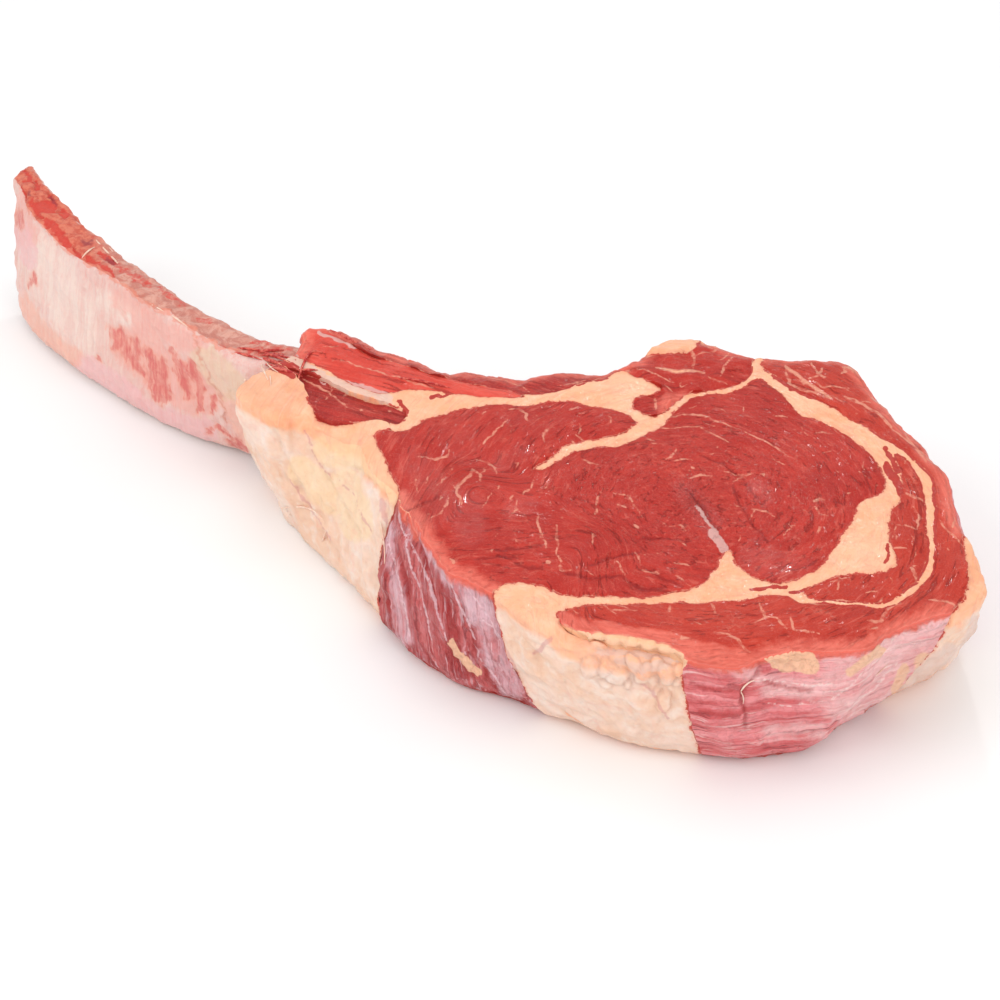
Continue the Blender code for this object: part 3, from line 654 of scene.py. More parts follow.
class Mix:
    """The nodes of one material or node group, and the colour laid down so far."""

    def __init__(self, tree):
        self.tree = tree
        self.colour = None

    def add(self, kind, inputs, out=0, **settings):
        """Adds a shader node. An input is a plain value, or the socket that feeds it."""
        node = self.tree.nodes.new("ShaderNode" + kind)
        for name, value in settings.items():
            setattr(node, name, value)
        for name, value in inputs.items():
            if isinstance(value, bpy.types.NodeSocket):
                self.tree.links.new(value, node.inputs[name])
            else:
                node.inputs[name].default_value = value
        return node.outputs[out]

    def use(self, name, **inputs):
        """Places a node group and returns its outputs."""
        return self.add("Group", inputs, node_tree=bpy.data.node_groups[name]).node.outputs

    def times(self, value, *others):
        """The product of masks and numbers."""
        for other in others:
            value = self.add("Math", {0: value, 1: other}, operation="MULTIPLY")
        return value

    def plus(self, value, other):
        """The sum of two values."""
        return self.add("Math", {0: value, 1: other}, operation="ADD")

    def scaled(self, value, factor, base):
        """A value times a factor, plus a base."""
        return self.add("Math", {0: value, 1: factor, 2: base}, operation="MULTIPLY_ADD")

    def noise(self, vector, scale, detail=3.0, rough=0.5, twist=0.0):
        """Cloudy noise round 0.5."""
        return self.add("TexNoise", {"Vector": vector, "Scale": scale, "Detail": detail,
                                     "Roughness": rough, "Distortion": twist})

    def step(self, value, low, high, to_low=0.0, to_high=1.0):
        """A smooth step from one level to another."""
        return self.add("MapRange", {"Value": value, "From Min": low, "From Max": high,
                                     "To Min": to_low, "To Max": to_high},
                        interpolation_type="SMOOTHSTEP")

    def patches(self, vector, scale, low, high, *kind):
        """Soft-edged patches; `kind` is the noise's detail, roughness and twist."""
        return self.step(self.noise(vector, scale, *kind), low, high)

    def stray(self, value, vector, scale, amount, *kind):
        """A value that noise of this amount moves up and down."""
        return self.plus(value, self.scaled(self.noise(vector, scale, *kind), amount, -amount / 2))

    def frayed(self, value, vector, scale, amount, low, high, *kind):
        """A mask or a distance turned into a step with an uneven edge."""
        return self.step(self.stray(value, vector, scale, amount, *kind), low, high)

    def hairlines(self, value, width):
        """Thin lines where a noise passes its middle."""
        return self.times(self.step(value, 0.5 - width, 0.5), self.step(value, 0.5 + width, 0.5))

    def tint(self, share, base, over):
        """Lays one colour over another."""
        base, over = (c if isinstance(c, bpy.types.NodeSocket) else (*c, 1) for c in (base, over))
        return self.add("Mix", {0: share, 6: base, 7: over}, 2, data_type="RGBA")

    def lay(self, over, mask, *amounts):
        """Lays a colour over what is there, as much as the mask times the amounts."""
        self.colour = self.tint(self.times(mask, *amounts), self.colour, over)

    def stored(self, name, out="Fac"):
        """A value that the surface stores for each point."""
        return self.add("Attribute", {}, out, attribute_name=name)

    def three(self, name):
        """The three masks that the surface stores under one name."""
        return self.add("SeparateXYZ", {0: self.stored(name, "Vector")}).node.outputs

    def place(self):
        """The place on the piece, in millimetres."""
        place = self.add("TexCoord", {}, "Object")
        return self.add("VectorMath", {0: place, "Scale": PER_MM}, operation="SCALE")

    def give(self, result, **made):
        """Joins what a node group has made to its outputs."""
        for label, socket in made.items():
            self.tree.links.new(socket, result[label])


def group(name, vectors, numbers, outputs):
    """An empty node group: its vector inputs, its number inputs with their values, its outputs."""
    tree = bpy.data.node_groups.new(name, "ShaderNodeTree")
    for label in vectors:
        tree.interface.new_socket(label, in_out="INPUT", socket_type="NodeSocketVector")
    for label, value in numbers.items():
        socket = tree.interface.new_socket(label, in_out="INPUT", socket_type="NodeSocketFloat")
        socket.default_value = value
    for label in outputs:
        tree.interface.new_socket(label, in_out="OUTPUT", socket_type="NodeSocketFloat")
    start = tree.nodes.new("NodeGroupInput")
    return Mix(tree), start.outputs, tree.nodes.new("NodeGroupOutput").inputs


# Fibre bundles: long ridges with finer ones on them, hair cracks, and pits of wet between.
mix, given, result = group("fibre_bundles", ("Grain", "Place"), {},
                           ("Height", "Streak", "Strand", "Crack", "Fleck"))
coarse = mix.noise(given["Grain"], 0.42, 5.0, 0.68, 0.5)
fine = mix.noise(given["Grain"], 1.7, 5.0, 0.7, 0.5)
strands_noise = mix.noise(given["Grain"], 1.15, 4.0, 0.62, 0.5)
pits = mix.noise(given["Place"], 0.9, 5.0, 0.72)
cracks = mix.patches(given["Grain"], 0.9, 0.42, 0.34, 4.0, 0.62, 0.9)
height = mix.times(fine, 0.35)
for layer, amount in ((coarse, 0.6), (pits, 0.4), (strands_noise, 0.3), (cracks, -0.35)):
    height = mix.scaled(layer, amount, height)
dots = mix.add("TexVoronoi", {"Vector": given["Place"], "Scale": 0.42, "Randomness": 1.0})
dots = mix.times(mix.step(dots, 0.22, 0.1), mix.patches(given["Place"], 0.12, 0.52, 0.66, 2.0))
mix.give(result, Height=height, Streak=mix.step(coarse, 0.36, 0.64),
         Strand=mix.step(strands_noise, 0.4, 0.62), Crack=cracks, Fleck=dots)

# Marbling: a soft-edged mask of the veins that the surface stores, plus a faint web.
mix, given, result = group("marbling", ("Place",), {"Vein": NO_VEIN, "Border": NO_VEIN, "Web": 0.5},
                           ("Fat", "Web"))
place = given["Place"]
shake = mix.scaled(mix.noise(place, 1.1, 3.0, 0.6), 0.9, -0.45)
vein = mix.step(mix.plus(given["Vein"], mix.times(shake, 0.6)), 0.2, -0.1)
edge = mix.step(mix.plus(given["Border"], mix.times(shake, 1.6)), 0.35, -0.1)
fading = mix.step(mix.noise(place, 0.45, 2.0), 0.34, 0.56, 0.25, 1.0)
drift = mix.add("TexNoise", {"Vector": place, "Scale": 0.22, "Detail": 4.0}, "Color")
swum = mix.add("VectorMath", {0: drift, 1: (9.0, 9.0, 9.0), 2: place}, operation="MULTIPLY_ADD")
cells = mix.add("TexVoronoi", {"Vector": swum, "Scale": 0.16, "Randomness": 1.0},
                feature="DISTANCE_TO_EDGE")
web = mix.times(mix.step(cells, 0.035, 0.0), mix.patches(place, 0.09, 0.47, 0.62, 2.0), given["Web"])
mix.give(result, Web=web,
         Fat=mix.add("Math", {0: mix.times(vein, fading), 1: edge}, operation="MAXIMUM"))

# Wet film: where the surface is slick and where it has dried dull.
mix, given, result = group("wet_film", ("Place",), {"Dull": 0.5, "Slick": 0.25}, ("Roughness",))
mix.give(result, Roughness=mix.step(mix.noise(given["Place"], 0.22, 4.0, 0.6), 0.35, 0.65,
                                    given["Slick"], given["Dull"]))


def new_mix(name):
    """An empty material."""
    material = bpy.data.materials.new(name)
    material.use_nodes = True
    mix = Mix(material.node_tree)
    mix.material = material
    mix.shader = mix.tree.nodes["Principled BSDF"]
    return mix


def feed(mix, rough, height, depth, coat=0.1, soft=0.1, radius=(1.0, 0.25, 0.15), soft_depth=1.5,
         gloss=None):
    """Joins a finish to its shader: wet coat, and a little light through the flesh."""
    shader = mix.shader
    bump = mix.add("Bump", {"Height": height, "Distance": depth * MM})
    links = {"Base Color": mix.colour, "Roughness": rough, "Normal": bump, "Coat Normal": bump}
    if gloss is not None:
        links["Coat Normal"] = mix.add("Bump", {"Height": gloss, "Distance": GLOSS_DEPTH * MM})
    for label, socket in links.items():
        mix.tree.links.new(socket, shader.inputs[label])
    for label, value in (("Specular IOR Level", SPECULAR), ("Coat Weight", coat),
                         ("Coat Roughness", COAT_ROUGHNESS), ("Subsurface Weight", soft),
                         ("Subsurface Radius", radius), ("Subsurface Scale", soft_depth * MM)):
        shader.inputs[label].default_value = value
    return mix.material


PALE_FIBRE = (0.74, 0.17, 0.125)
PAINTED_SPARKLE_RED = (0.70, 0.13, 0.09)
CRACK_SHADE_RED = (0.22, 0.008, 0.008)
RIM_LIGHT_RED = (0.85, 0.20, 0.145)
EDGE_HIGHLIGHT_PINK = (0.86, 0.36, 0.30)
FLECK_PINK = (0.70, 0.22, 0.15)
WEB_PINK = (0.72, 0.24, 0.17)
FOLD_SHADE_RED = (0.20, 0.008, 0.010)
VEIN_FAT = (0.78, 0.32, 0.22)
THICK_FAT = (0.93, 0.52, 0.31)
SILVERSKIN = (0.72, 0.42, 0.38)
BASE_COAT, WET_COAT = 0.08, 0.4


def muscle(name, deep, middle, bright, web=0.5):
    """Freshly cut beef: fibres, veins, a web of marbling, and painted light along the rim: a brighter red
    band and a pale painted highlight on the edge.
    """
    mix = new_mix(name)
    place, grain = mix.place(), mix.stored("grain", "Vector")
    rim, vein = mix.stored("rim"), mix.stored("vein")
    fibres = mix.use("fibre_bundles", Grain=grain, Place=place)
    fat = mix.use("marbling", Vein=vein, Border=mix.stored("border"), Place=place, Web=web)
    film, wet, dark = mix.three("zone")
    calm = mix.step(rim, 0.2, 1.2)
    rim_light = mix.frayed(rim, place, 0.35, 5.0, 4.9, 0.9, 5.0, 0.68)
    mix.colour = mix.tint(mix.patches(place, 0.045, 0.36, 0.64, 6.0, 0.62), middle, bright)
    mix.lay(deep, fibres["Streak"], 0.4)
    mix.lay(deep, fibres["Strand"], 0.42)
    mix.lay(PALE_FIBRE, mix.patches(grain, 0.95, 0.55, 0.68, 5.0, 0.68, 0.7), 0.4)
    # painted sparkle: fine pale specks that stand for glints of the wet surface
    mix.lay(PAINTED_SPARKLE_RED, mix.patches(place, 1.9, 0.5, 0.66, 4.0, 0.75, 0.4), 0.3)
    # painted shade in the hair cracks between the fibre bundles
    mix.lay(CRACK_SHADE_RED, fibres["Crack"], 0.5, calm)
    # painted light: the cut face turns brighter red towards its rim, and a pale painted highlight lines the
    # edge
    mix.lay(RIM_LIGHT_RED, rim_light, 0.8, mix.scaled(fibres["Strand"], -0.35, 1.0))
    mix.lay(EDGE_HIGHLIGHT_PINK, mix.step(rim, 0.45, 0.1), 0.15)
    mix.lay(FLECK_PINK, fibres["Fleck"], 0.4)
    mix.lay(WEB_PINK, fat["Web"], 0.4)
    # painted shade in the folds of the cut face
    mix.lay(FOLD_SHADE_RED, dark, 0.6)
    mix.lay(VEIN_FAT, fat["Fat"], 0.78)
    mix.lay(THICK_FAT, mix.step(vein, -0.25, -0.9))
    mix.lay(SILVERSKIN, mix.frayed(film, place, 0.5, 0.6, 0.3, 0.75), 0.8)
    rough = mix.use("wet_film", Place=place, Dull=0.5, Slick=0.3)["Roughness"]
    rough = mix.times(rough, mix.scaled(wet, -0.6, 1.0))
    gloss = mix.noise(grain, 0.75, 1.0, 0.5, 0.3)
    feed(mix, rough, mix.times(fibres["Height"], calm), 0.5, BASE_COAT, 0.06, gloss=gloss)
    mix.tree.links.new(mix.scaled(wet, WET_COAT, BASE_COAT), mix.shader.inputs["Coat Weight"])
    return mix.material


SIDE_CRACK_SHADE = (0.24, 0.015, 0.02)
SIDE_CLEFT_SHADE = (0.36, 0.025, 0.025)
SIDE_RIM = (0.76, 0.13, 0.085)
PAD_FAT = (0.90, 0.53, 0.34)


def side_of_muscle(name, deep, bright, film, thread):
    """The outside of a muscle: bundles that show red through a film of silverskin."""
    mix = new_mix(name)
    place, grain = mix.place(), mix.stored("grain", "Vector")
    rim, vein = mix.stored("rim"), mix.stored("vein")
    fibres = mix.use("fibre_bundles", Grain=grain, Place=place)
    skin, pad, dark = mix.three("zone")
    skin = mix.stray(skin, grain, 0.45, 1.7, 5.0, 0.68, 0.8)
    skin = mix.stray(skin, place, 0.09, 1.0, 3.0, 0.6)
    folds = mix.hairlines(mix.noise(place, 0.3, 4.0, 0.65, 1.8), 0.02)
    mix.colour = mix.tint(mix.patches(grain, 0.36, 0.38, 0.62, 5.0, 0.68, 0.5), deep, bright)
    # painted shade in the hair cracks between the fibre bundles
    mix.lay(SIDE_CRACK_SHADE, fibres["Crack"], 0.6)
    mix.lay(film, mix.step(skin, 0.1, 1.0), 0.92)
    mix.lay(thread, mix.patches(grain, 1.2, 0.55, 0.68, 3.0, 0.55, 0.8), 0.5)
    mix.lay(thread, folds, mix.step(skin, 0.1, 0.6), 0.25)
    mix.lay(thread, mix.frayed(vein, place, 0.8, 1.2, 0.15, -0.2), 0.65)
    # painted shade along the clefts of the wall
    mix.lay(SIDE_CLEFT_SHADE, dark, 0.55)
    mix.lay(SIDE_RIM, mix.frayed(rim, place, 0.3, 4.4, 2.6, 0.6, 4.0, 0.6), 0.92)
    mix.lay(PAD_FAT, mix.frayed(pad, place, 0.5, 0.5, 0.3, 0.75, 4.0, 0.6), 0.9)
    mix.lay(PAD_FAT, mix.step(vein, -0.5, -1.2))
    rough = mix.use("wet_film", Place=place, Dull=0.5, Slick=0.3)["Roughness"]
    height = mix.times(mix.scaled(folds, 0.12, fibres["Height"]), mix.step(rim, 0.2, 1.2))
    return feed(mix, rough, height, 0.55)


CREAM, PALE_CREAM = (0.83, 0.55, 0.40), (0.86, 0.65, 0.54)
CREAM_MOTTLE = (0.88, 0.75, 0.67)
CREAM_GRAIN = (0.84, 0.54, 0.40)
PEACH, PALE_PEACH = (0.92, 0.43, 0.24), (0.93, 0.50, 0.31)
PEACH_MOTTLE = (0.94, 0.57, 0.38)
PEACH_GRAIN = (0.88, 0.40, 0.24)
PEACH_STREAK = (0.84, 0.34, 0.23)
PEACH_LIGHT = (0.94, 0.60, 0.43)
OLD_GOLD = (0.87, 0.62, 0.37)
FILM_GREY = (0.72, 0.52, 0.45)
FAT_BLUSH = (0.84, 0.38, 0.28)
THREAD_PINK = (0.80, 0.36, 0.28)
BLOOD_STAIN = (0.62, 0.26, 0.26)
CREASE_SHADE_AND_FACET_BROWN = (0.55, 0.26, 0.17)
BORDER_PINK = (0.80, 0.32, 0.21)
BORDER_RED = (0.52, 0.05, 0.035)
TORN_DARK, TORN_LIGHT = (0.36, 0.015, 0.012), (0.58, 0.07, 0.05)


def fat(name):
    """Beef fat: waxy, in soft grains, blushed pink where blood has run over it."""
    mix = new_mix(name)
    place, run = mix.place(), mix.stored("grain", "Vector")
    creamy, gold, film = mix.three("zone")
    stain, dark, wall = mix.three("tone")
    large = mix.patches(place, 0.06, 0.35, 0.65, 3.0, 0.55)
    middle = mix.patches(place, 0.17, 0.45, 0.7, 3.0, 0.6, 0.4)
    grain = mix.patches(place, 1.3, 0.5, 0.64, 5.0, 0.75, 0.5)
    mix.colour = mix.tint(large, CREAM, PALE_CREAM)
    mix.lay(CREAM_MOTTLE, middle, 0.6)
    mix.lay(CREAM_GRAIN, grain, 0.12)
    cream = mix.colour
    mix.colour = mix.tint(large, PEACH, PALE_PEACH)
    mix.lay(PEACH_MOTTLE, middle, 0.5)
    mix.lay(PEACH_GRAIN, grain, 0.14)
    mix.lay(PEACH_STREAK, mix.patches(run, 1.2, 0.5, 0.66, 4.0, 0.68, 0.8), 0.5)
    mix.lay(PEACH_LIGHT, mix.patches(run, 0.8, 0.45, 0.34, 3.0, 0.6, 0.8), 0.25)
    mix.lay(cream, mix.frayed(creamy, place, 0.14, 0.8, 0.25, 0.8))
    mix.lay(OLD_GOLD, mix.frayed(gold, place, 0.25, 0.8, 0.3, 0.9), 0.6)
    mix.lay(FILM_GREY, mix.frayed(film, place, 0.6, 0.7, 0.3, 0.9), 0.7)
    mix.lay(FAT_BLUSH, mix.patches(place, 0.11, 0.53, 0.72, 4.0, 0.65, 0.8), 0.3)
    threads = mix.hairlines(mix.noise(place, 0.16, 4.0, 0.62, 1.2), 0.015)
    mix.lay(THREAD_PINK, threads, wall, 0.16)
    mix.lay(BLOOD_STAIN, mix.frayed(stain, place, 0.8, 0.7, 0.3, 0.9), 0.5)
    # painted shade in the creases round the beads; on the block's facet the same brown darkens its own tone
    mix.lay(CREASE_SHADE_AND_FACET_BROWN, dark, 0.55)
    stray = mix.scaled(mix.noise(place, 0.4, 5.0, 0.7), 4.0, -2.0)
    edge = mix.plus(mix.stored("border"), stray)
    mix.lay(BORDER_PINK, mix.step(edge, 1.5, 0.5), 0.45)
    mix.lay(BORDER_RED, mix.step(edge, 0.6, 0.35), 0.95)
    red = mix.tint(mix.noise(place, 0.8, 4.0, 0.7), TORN_DARK, TORN_LIGHT)
    mix.lay(red, mix.step(mix.plus(mix.stored("meat"), mix.times(stray, 0.3)), 0.35, 0.6))
    height = mix.scaled(mix.noise(place, 0.9, 3.0, 0.5), 0.14, mix.noise(place, 0.22, 2.0, 0.5, 0.3))
    height = mix.scaled(threads, -0.06, height)
    rough = mix.use("wet_film", Place=place, Dull=0.55, Slick=0.36)["Roughness"]
    return feed(mix, rough, height, 0.7, soft=0.2, radius=(1.0, 0.6, 0.4), soft_depth=2.0)


cut_beef = muscle("cut_beef", (0.36, 0.012, 0.008), (0.47, 0.026, 0.018), (0.56, 0.042, 0.028))
cut_cap = muscle("cut_cap_beef", (0.41, 0.022, 0.014), (0.50, 0.036, 0.019), (0.60, 0.055, 0.03), 0.8)
cut_bright = muscle("cut_bright_beef", (0.55, 0.03, 0.02), (0.74, 0.075, 0.05), (0.82, 0.12, 0.085))
cut_dark = muscle("cut_dark_beef", (0.20, 0.008, 0.008), (0.38, 0.020, 0.017), (0.52, 0.040, 0.03))
beef_side = side_of_muscle("silverskin_side", (0.64, 0.115, 0.12), (0.84, 0.29, 0.30),
                           (0.90, 0.54, 0.53), (0.95, 0.70, 0.66))
dark_side = side_of_muscle("dark_silverskin_side", (0.36, 0.03, 0.03), (0.58, 0.12, 0.12),
                           (0.76, 0.48, 0.53), (0.86, 0.60, 0.64))
beef_fat = fat("beef_fat")

# --- the eye, the caps and the other muscles ----------------------------------------------
# Each is one muscle cut across: the eye in the middle, the caps round its outer side, and
# thin strips of rib meat and chine meat at the back.


def fibre_relief(flesh, strength=1.0):
    """Ridges and pits of the torn fibre ends on the cut face."""
    grain = grain_of_cut(flesh.points)
    long = cloud(grain * (1.0, 1.6, 1.6), 1.6, 41)
    short = cloud(grain * (2.1, 2.5, 2.5), 1.6, 42)
    lumps = cloud(flesh.points, 11.0, 43)
    height = 0.15 * long + 0.1 * short + 0.28 * lumps
    flesh.raise_by(strength * height, np.where(flesh.cut, 1.0, 0.0))


FOLDS = (       # creases of the cut face: width, then the points
    (2.2, (496, 552), (515, 548), (541, 545)), (2.6, (516, 562), (528, 567), (543, 567)),
    (2.0, (590, 565), (600, 561), (612, 557), (640, 552)),
    (2.6, (620, 576), (634, 586), (650, 590), (664, 587)), (2.2, (648, 569), (661, 577), (682, 586)),
    (2.0, (684, 488), (695, 497), (706, 510), (714, 524), (726, 546)),
    (1.8, (733, 485), (741, 503), (752, 522), (766, 540)), (1.6, (405, 512), (425, 502), (440, 497)),
    (1.6, (476, 560), (500, 556), (520, 557)), (2.0, (560, 571), (590, 578), (620, 577)),
    (1.6, (700, 455), (722, 462), (742, 478), (756, 498)), (1.6, (640, 540), (665, 536), (690, 541)),
)
FOLD_SHADE = tuple((width * 0.12, width * 0.9, *line) for width, *line in FOLDS)
SILVER = ((3.5, 3.0, (713, 533), (719, 541), (724, 548)), (1.2, 1.5, (697, 505), (706, 518), (713, 531)))
WET = (
    (8, 16, (412, 462), (430, 480), (452, 500), (470, 528)), (7, 14, (405, 500), (430, 512), (470, 508)),
    (4, 10, (500, 462), (525, 455)), (5, 12, (684, 490), (698, 506), (712, 524)),
    (5, 10, (757, 488), (765, 497)), (8, 14, (752, 558), (775, 566), (800, 570)),
    (3, 9, (510, 510), (530, 505)),
)
WALL_LINES = (
    (0.5, (398, 481), (399, 505), (401, 525), (406, 538), (409, 554), (413, 570), (419, 587),
     (424, 607), (428, 624), (432, 640)),
    (0.45, (407, 534), (417, 556), (424, 570), (430, 589), (434, 607), (441, 624), (446, 640)),
    (0.5, (432, 546), (444, 566), (452, 583), (458, 601), (466, 619), (475, 640)),
    (0.4, (446, 566), (464, 585), (479, 605), (493, 624), (499, 640)),
    (0.4, (387, 534), (392, 554), (397, 574), (403, 595), (407, 615), (410, 636)),
    (0.4, (480, 658), (492, 674), (504, 691), (517, 703), (529, 710)),
    (0.35, (480, 619), (494, 627), (506, 646), (517, 662)),
    (0.5, (758, 678), (774, 681), (790, 682), (811, 686), (835, 682)),
    (0.3, (765, 702), (790, 706), (822, 700)),
    (0.4, (831, 700), (852, 684), (878, 660), (904, 627)),
    (0.35, (846, 712), (872, 690), (898, 662)),
)
WALL_SKIN = (
    (5, 12, (420, 528), (447, 566), (472, 600), (492, 640)), (8, 12, (470, 590), (492, 640), (512, 690)),
    (5, 8, (687, 652), (705, 658), (728, 664), (754, 674)), (4, 16, (768, 684), (800, 688), (835, 686)),
    (18, 34, (850, 690), (885, 668), (915, 640), (950, 610)), (2, 12, (770, 732), (820, 730)),
    (2, 9, (388, 530), (394, 580), (405, 640)), (6, 16, (830, 655), (870, 648), (910, 625)),
)
WALL_PADS = (
    (10, 2, (564, 638), (580, 644), (600, 646), (628, 648), (655, 652), (674, 658)),
    (8, 5, (780, 661), (795, 660), (810, 664)), (2.5, 2, (738, 653), (762, 655), (775, 660)),
    (1.6, 2.4, (451, 642), (457, 649)), (3.8, 2.6, (461, 654), (467, 662)),
    (1.8, 2.4, (472, 667), (479, 673)), (5, 12, (925, 664), (926, 686)),
    (3, 6, (965, 545), (975, 575), (970, 605)),
    (1, 8, (850, 672), (880, 650)), (1, 8, (896, 690), (905, 668)),
)
# painted shade along the clefts of the walls, some of them also pressed in as CLEFT
WALL_CLEFT_SHADE = (
    (0.8, 2.4, (758, 658), (761, 668), (756, 676), (750, 682), (743, 690), (741, 698), (745, 711),
     (745, 727)), (1.0, 2.0, (690, 684), (715, 690), (740, 688)), (1.0, 2.2, (700, 712), (738, 716)),
    (0.5, 2.0, (762, 682), (790, 688), (812, 691)), (1.2, 2.5, (412, 530), (424, 556), (428, 574)),
    (1.2, 3.0, (396, 540), (404, 572), (410, 600)), (1.2, 3.0, (437, 572), (446, 604), (455, 640)),
)
CLEFT = ((2.4, (758, 658), (761, 668), (753, 680), (743, 690), (741, 698), (746, 711), (745, 727)),
         (2.0, (412, 530), (424, 556), (434, 600), (446, 640)),
         (2.0, (396, 540), (404, 572), (412, 620)))
# painted light: along these lines the brighter rim reaches further in
LIT_LOWER_RIM = (      # the cap's lower edge, above the beads
    (7, 12, (562, 622), (576, 629), (600, 632), (640, 638), (672, 644), (700, 652), (740, 660)),)
BEADS_OF_CAP = (
    (594, 638, 9), (612, 641, 8), (632, 643, 8), (650, 647, 8), (668, 653, 7), (462, 655, 6),
    (469, 664, 6), (790, 653, 4.5), (802, 653, 4.5), (811, 656, 4), (784, 662, 5), (797, 664, 6))
FOLD_DEPTH = 0.55
CLEFT_DEPTH = 0.9
BEAD_RISE = 0.12
# these rim distances also set where the painted rim light lies
RIM_REACH = 8            # the rim's colour ends this far in,
RIM_DRAWN_IN = 6.6       # and this much nearer along the bright lower edge
PIXEL = 0.38             # millimetres of the steak that a pixel of the photograph covers
EDGE_STRAY = ((2.0, 3.0, 96), (1.5, 1.4, 97))
STEP_FAT = -3.0          # well inside a vein: all fat
STEP_TOP = 45            # the step's wall is fat up to here within the first number of pixels,
STEP_REACH = (12, 9, 40)       # above it within the second, and out of sight within the third


def dress_muscle(node, name, veins, slot, cut, seed, flecks=60, strength=1.0, way=None, film=(),
                 wall=None, along=None, pale_step=None):
    """Makes one muscle. `way` and `along` steer the fibres of its wall and of its face, `film`
    adds silverskin to the face, and the step that lies on the line `pale_step` is fat."""
    flesh = Flesh(node, name)
    fibre_relief(flesh, strength)
    flesh.press(FOLDS, FOLD_DEPTH * strength)
    side_grain = grain_of_walls(flesh.points, way)
    bundles = cloud(side_grain, 2.2, 51)
    flesh.raise_by(0.4 * bundles + 0.35 * cloud(flesh.points, 5.0, 52),
                   np.where(flesh.side, ramp(flesh.to_rim, 0.3, 3.0), 0.0))
    flesh.press(CLEFT, CLEFT_DEPTH)
    flesh.bead(BEADS_OF_CAP, BEAD_RISE)
    face_grain = grain_of_cut(flesh.points) if along is None else grain_of_walls(flesh.points, along)
    grain = np.where(flesh.side[:, None], side_grain, face_grain)
    low, high = flesh.points[:, :2].min(0), flesh.points[:, :2].max(0)
    strokes = list(veins) + random_flecks(seed, flecks, (low, high))
    lines = np.full(len(flesh.points), NO_VEIN)
    for half, *line in WALL_LINES:
        far = away_from(flesh.pixels + 1.2 * cloud(flesh.points, 3.0, 95)[:, None], line)[0]
        lines = np.minimum(lines, far * PIXEL - half * 0.7 + NO_VEIN * (flesh.facing < 0.5))
    inside = veins_at(flesh.points, strokes)
    stray = layered(flesh.points, EDGE_STRAY)[:, None]
    for half, *line in FAT_EDGES:
        inside = np.minimum(inside, (away_from(flesh.pixels + stray, line)[0] - half) * PIXEL)
    lines = np.where(flesh.side, lines, inside)
    if pale_step is not None:
        far = away_from(flesh.pixels, pale_step)[0]
        low_reach, high_reach, hidden_reach = STEP_REACH
        reach = np.where(flesh.points[:, 2] < STEP_TOP, low_reach, high_reach)
        lines[~flesh.cut & (far < np.where(flesh.side, reach, hidden_reach))] = STEP_FAT
    keep(flesh.mesh, "vein", lines)
    bled = flesh.marks(MEAT + THIN_SEAMS)
    keep(flesh.mesh, "border", np.minimum(flesh.to_border + NO_VEIN * bled, NO_VEIN))
    keep(flesh.mesh, "rim", np.minimum(flesh.to_rim, RIM_REACH
                                        - RIM_DRAWN_IN * flesh.marks(LIT_LOWER_RIM)))
    keep(flesh.mesh, "grain", grain, "FLOAT_VECTOR")
    skin = 0.55 * flesh.marks(WALL_SKIN) + 0.25 * (1 - flesh.facing)
    wall_zone = (0.12 + skin, flesh.marks(WALL_PADS), flesh.marks(WALL_CLEFT_SHADE))
    face = (flesh.marks(SILVER + film), flesh.marks(WET), flesh.marks(FOLD_SHADE))
    keep(flesh.mesh, "zone", np.where(flesh.side[:, None], np.column_stack(wall_zone),
                                      np.column_stack(face)), "FLOAT_VECTOR")
    flesh.finish((cut, wall or beef_side, cut, cut), slot)


FAT_EDGES = (       # fat that lies on the muscles, beside the seams: half width, then the points
    (9, (564, 634), (574, 639), (590, 641.5), (620, 643), (645, 648), (664, 652), (676, 659)),
    (3, (702, 342), (712, 345)), (1.6, (786, 368), (801, 378), (818, 389), (831, 398)),
    (1.1, (846, 397), (862, 403), (879, 414), (892, 428)), (1.0, (872, 398), (886, 408), (900, 424)),
    (1.5, (840, 371), (849, 368), (857, 373)), (1.0, (812, 365), (817, 373), (826, 378)),
    (0.8, (905, 433), (915, 448), (926, 462)),
)
MEAT = (        # red that runs into the seams
    (4.5, 2, (776, 408), (798, 421), (826, 434), (846, 449), (860, 462), (868, 478)),
    (1.4, 1.6, (884, 448), (893, 460), (899, 472)), (3.0, 2.5, (886, 466), (896, 480), (902, 494)),
    (1.0, 1.6, (752, 590), (772, 587), (786, 586)), (1.2, 1.6, (790, 592), (806, 590)),
    (1.0, 1.6, (430, 398), (452, 393), (478, 390)), (1.0, 2, (400, 402), (408, 412), (404, 420)),
    (1.0, 1.6, (562, 388), (588, 382), (606, 378)), (0.8, 1.4, (886, 545), (888, 556), (884, 564)),
    (5, 2, (777, 375), (800, 387), (838, 403), (866, 420), (897, 438)),
)
THIN_SEAMS = (      # where the red closes in from both sides
    (12, 4, (880, 425), (903, 445), (922, 470), (933, 505), (936, 545), (930, 580), (912, 600)),
    (10, 4, (885, 608), (860, 606), (830, 602)), (8, 3, (700, 362), (735, 370), (760, 378)),
)
WALL_WAY = (-0.12, 0.1, 1.0)
RIBWARD = (1.0, 0.17, 0.0)
STRIP = ((4, 2.5, (289, 356), (309, 369), (327, 379), (347, 385), (366, 391), (388, 398)),)
FINGER_STREAK = ((0.6, 2.6, (318, 333), (336, 340), (355, 348)),)
dress_muscle("eye_muscle", "eye_of_the_rib", VEINS, "muscle", cut_beef, 61, 120, way=WALL_WAY,
             wall=dark_side)
dress_muscle("inner_cap_muscle", "inner_cap", CAP_VEINS, "muscle", cut_cap, 62, 30)
dress_muscle("outer_cap_muscle", "outer_cap", CAP_VEINS, "muscle", cut_cap, 63, 90,
             pale_step=FAT_EDGES[0][1:])
dress_muscle("back_muscle", "back_meat", BACK_VEINS, "muscle", cut_beef, 64, 24, 1.5)
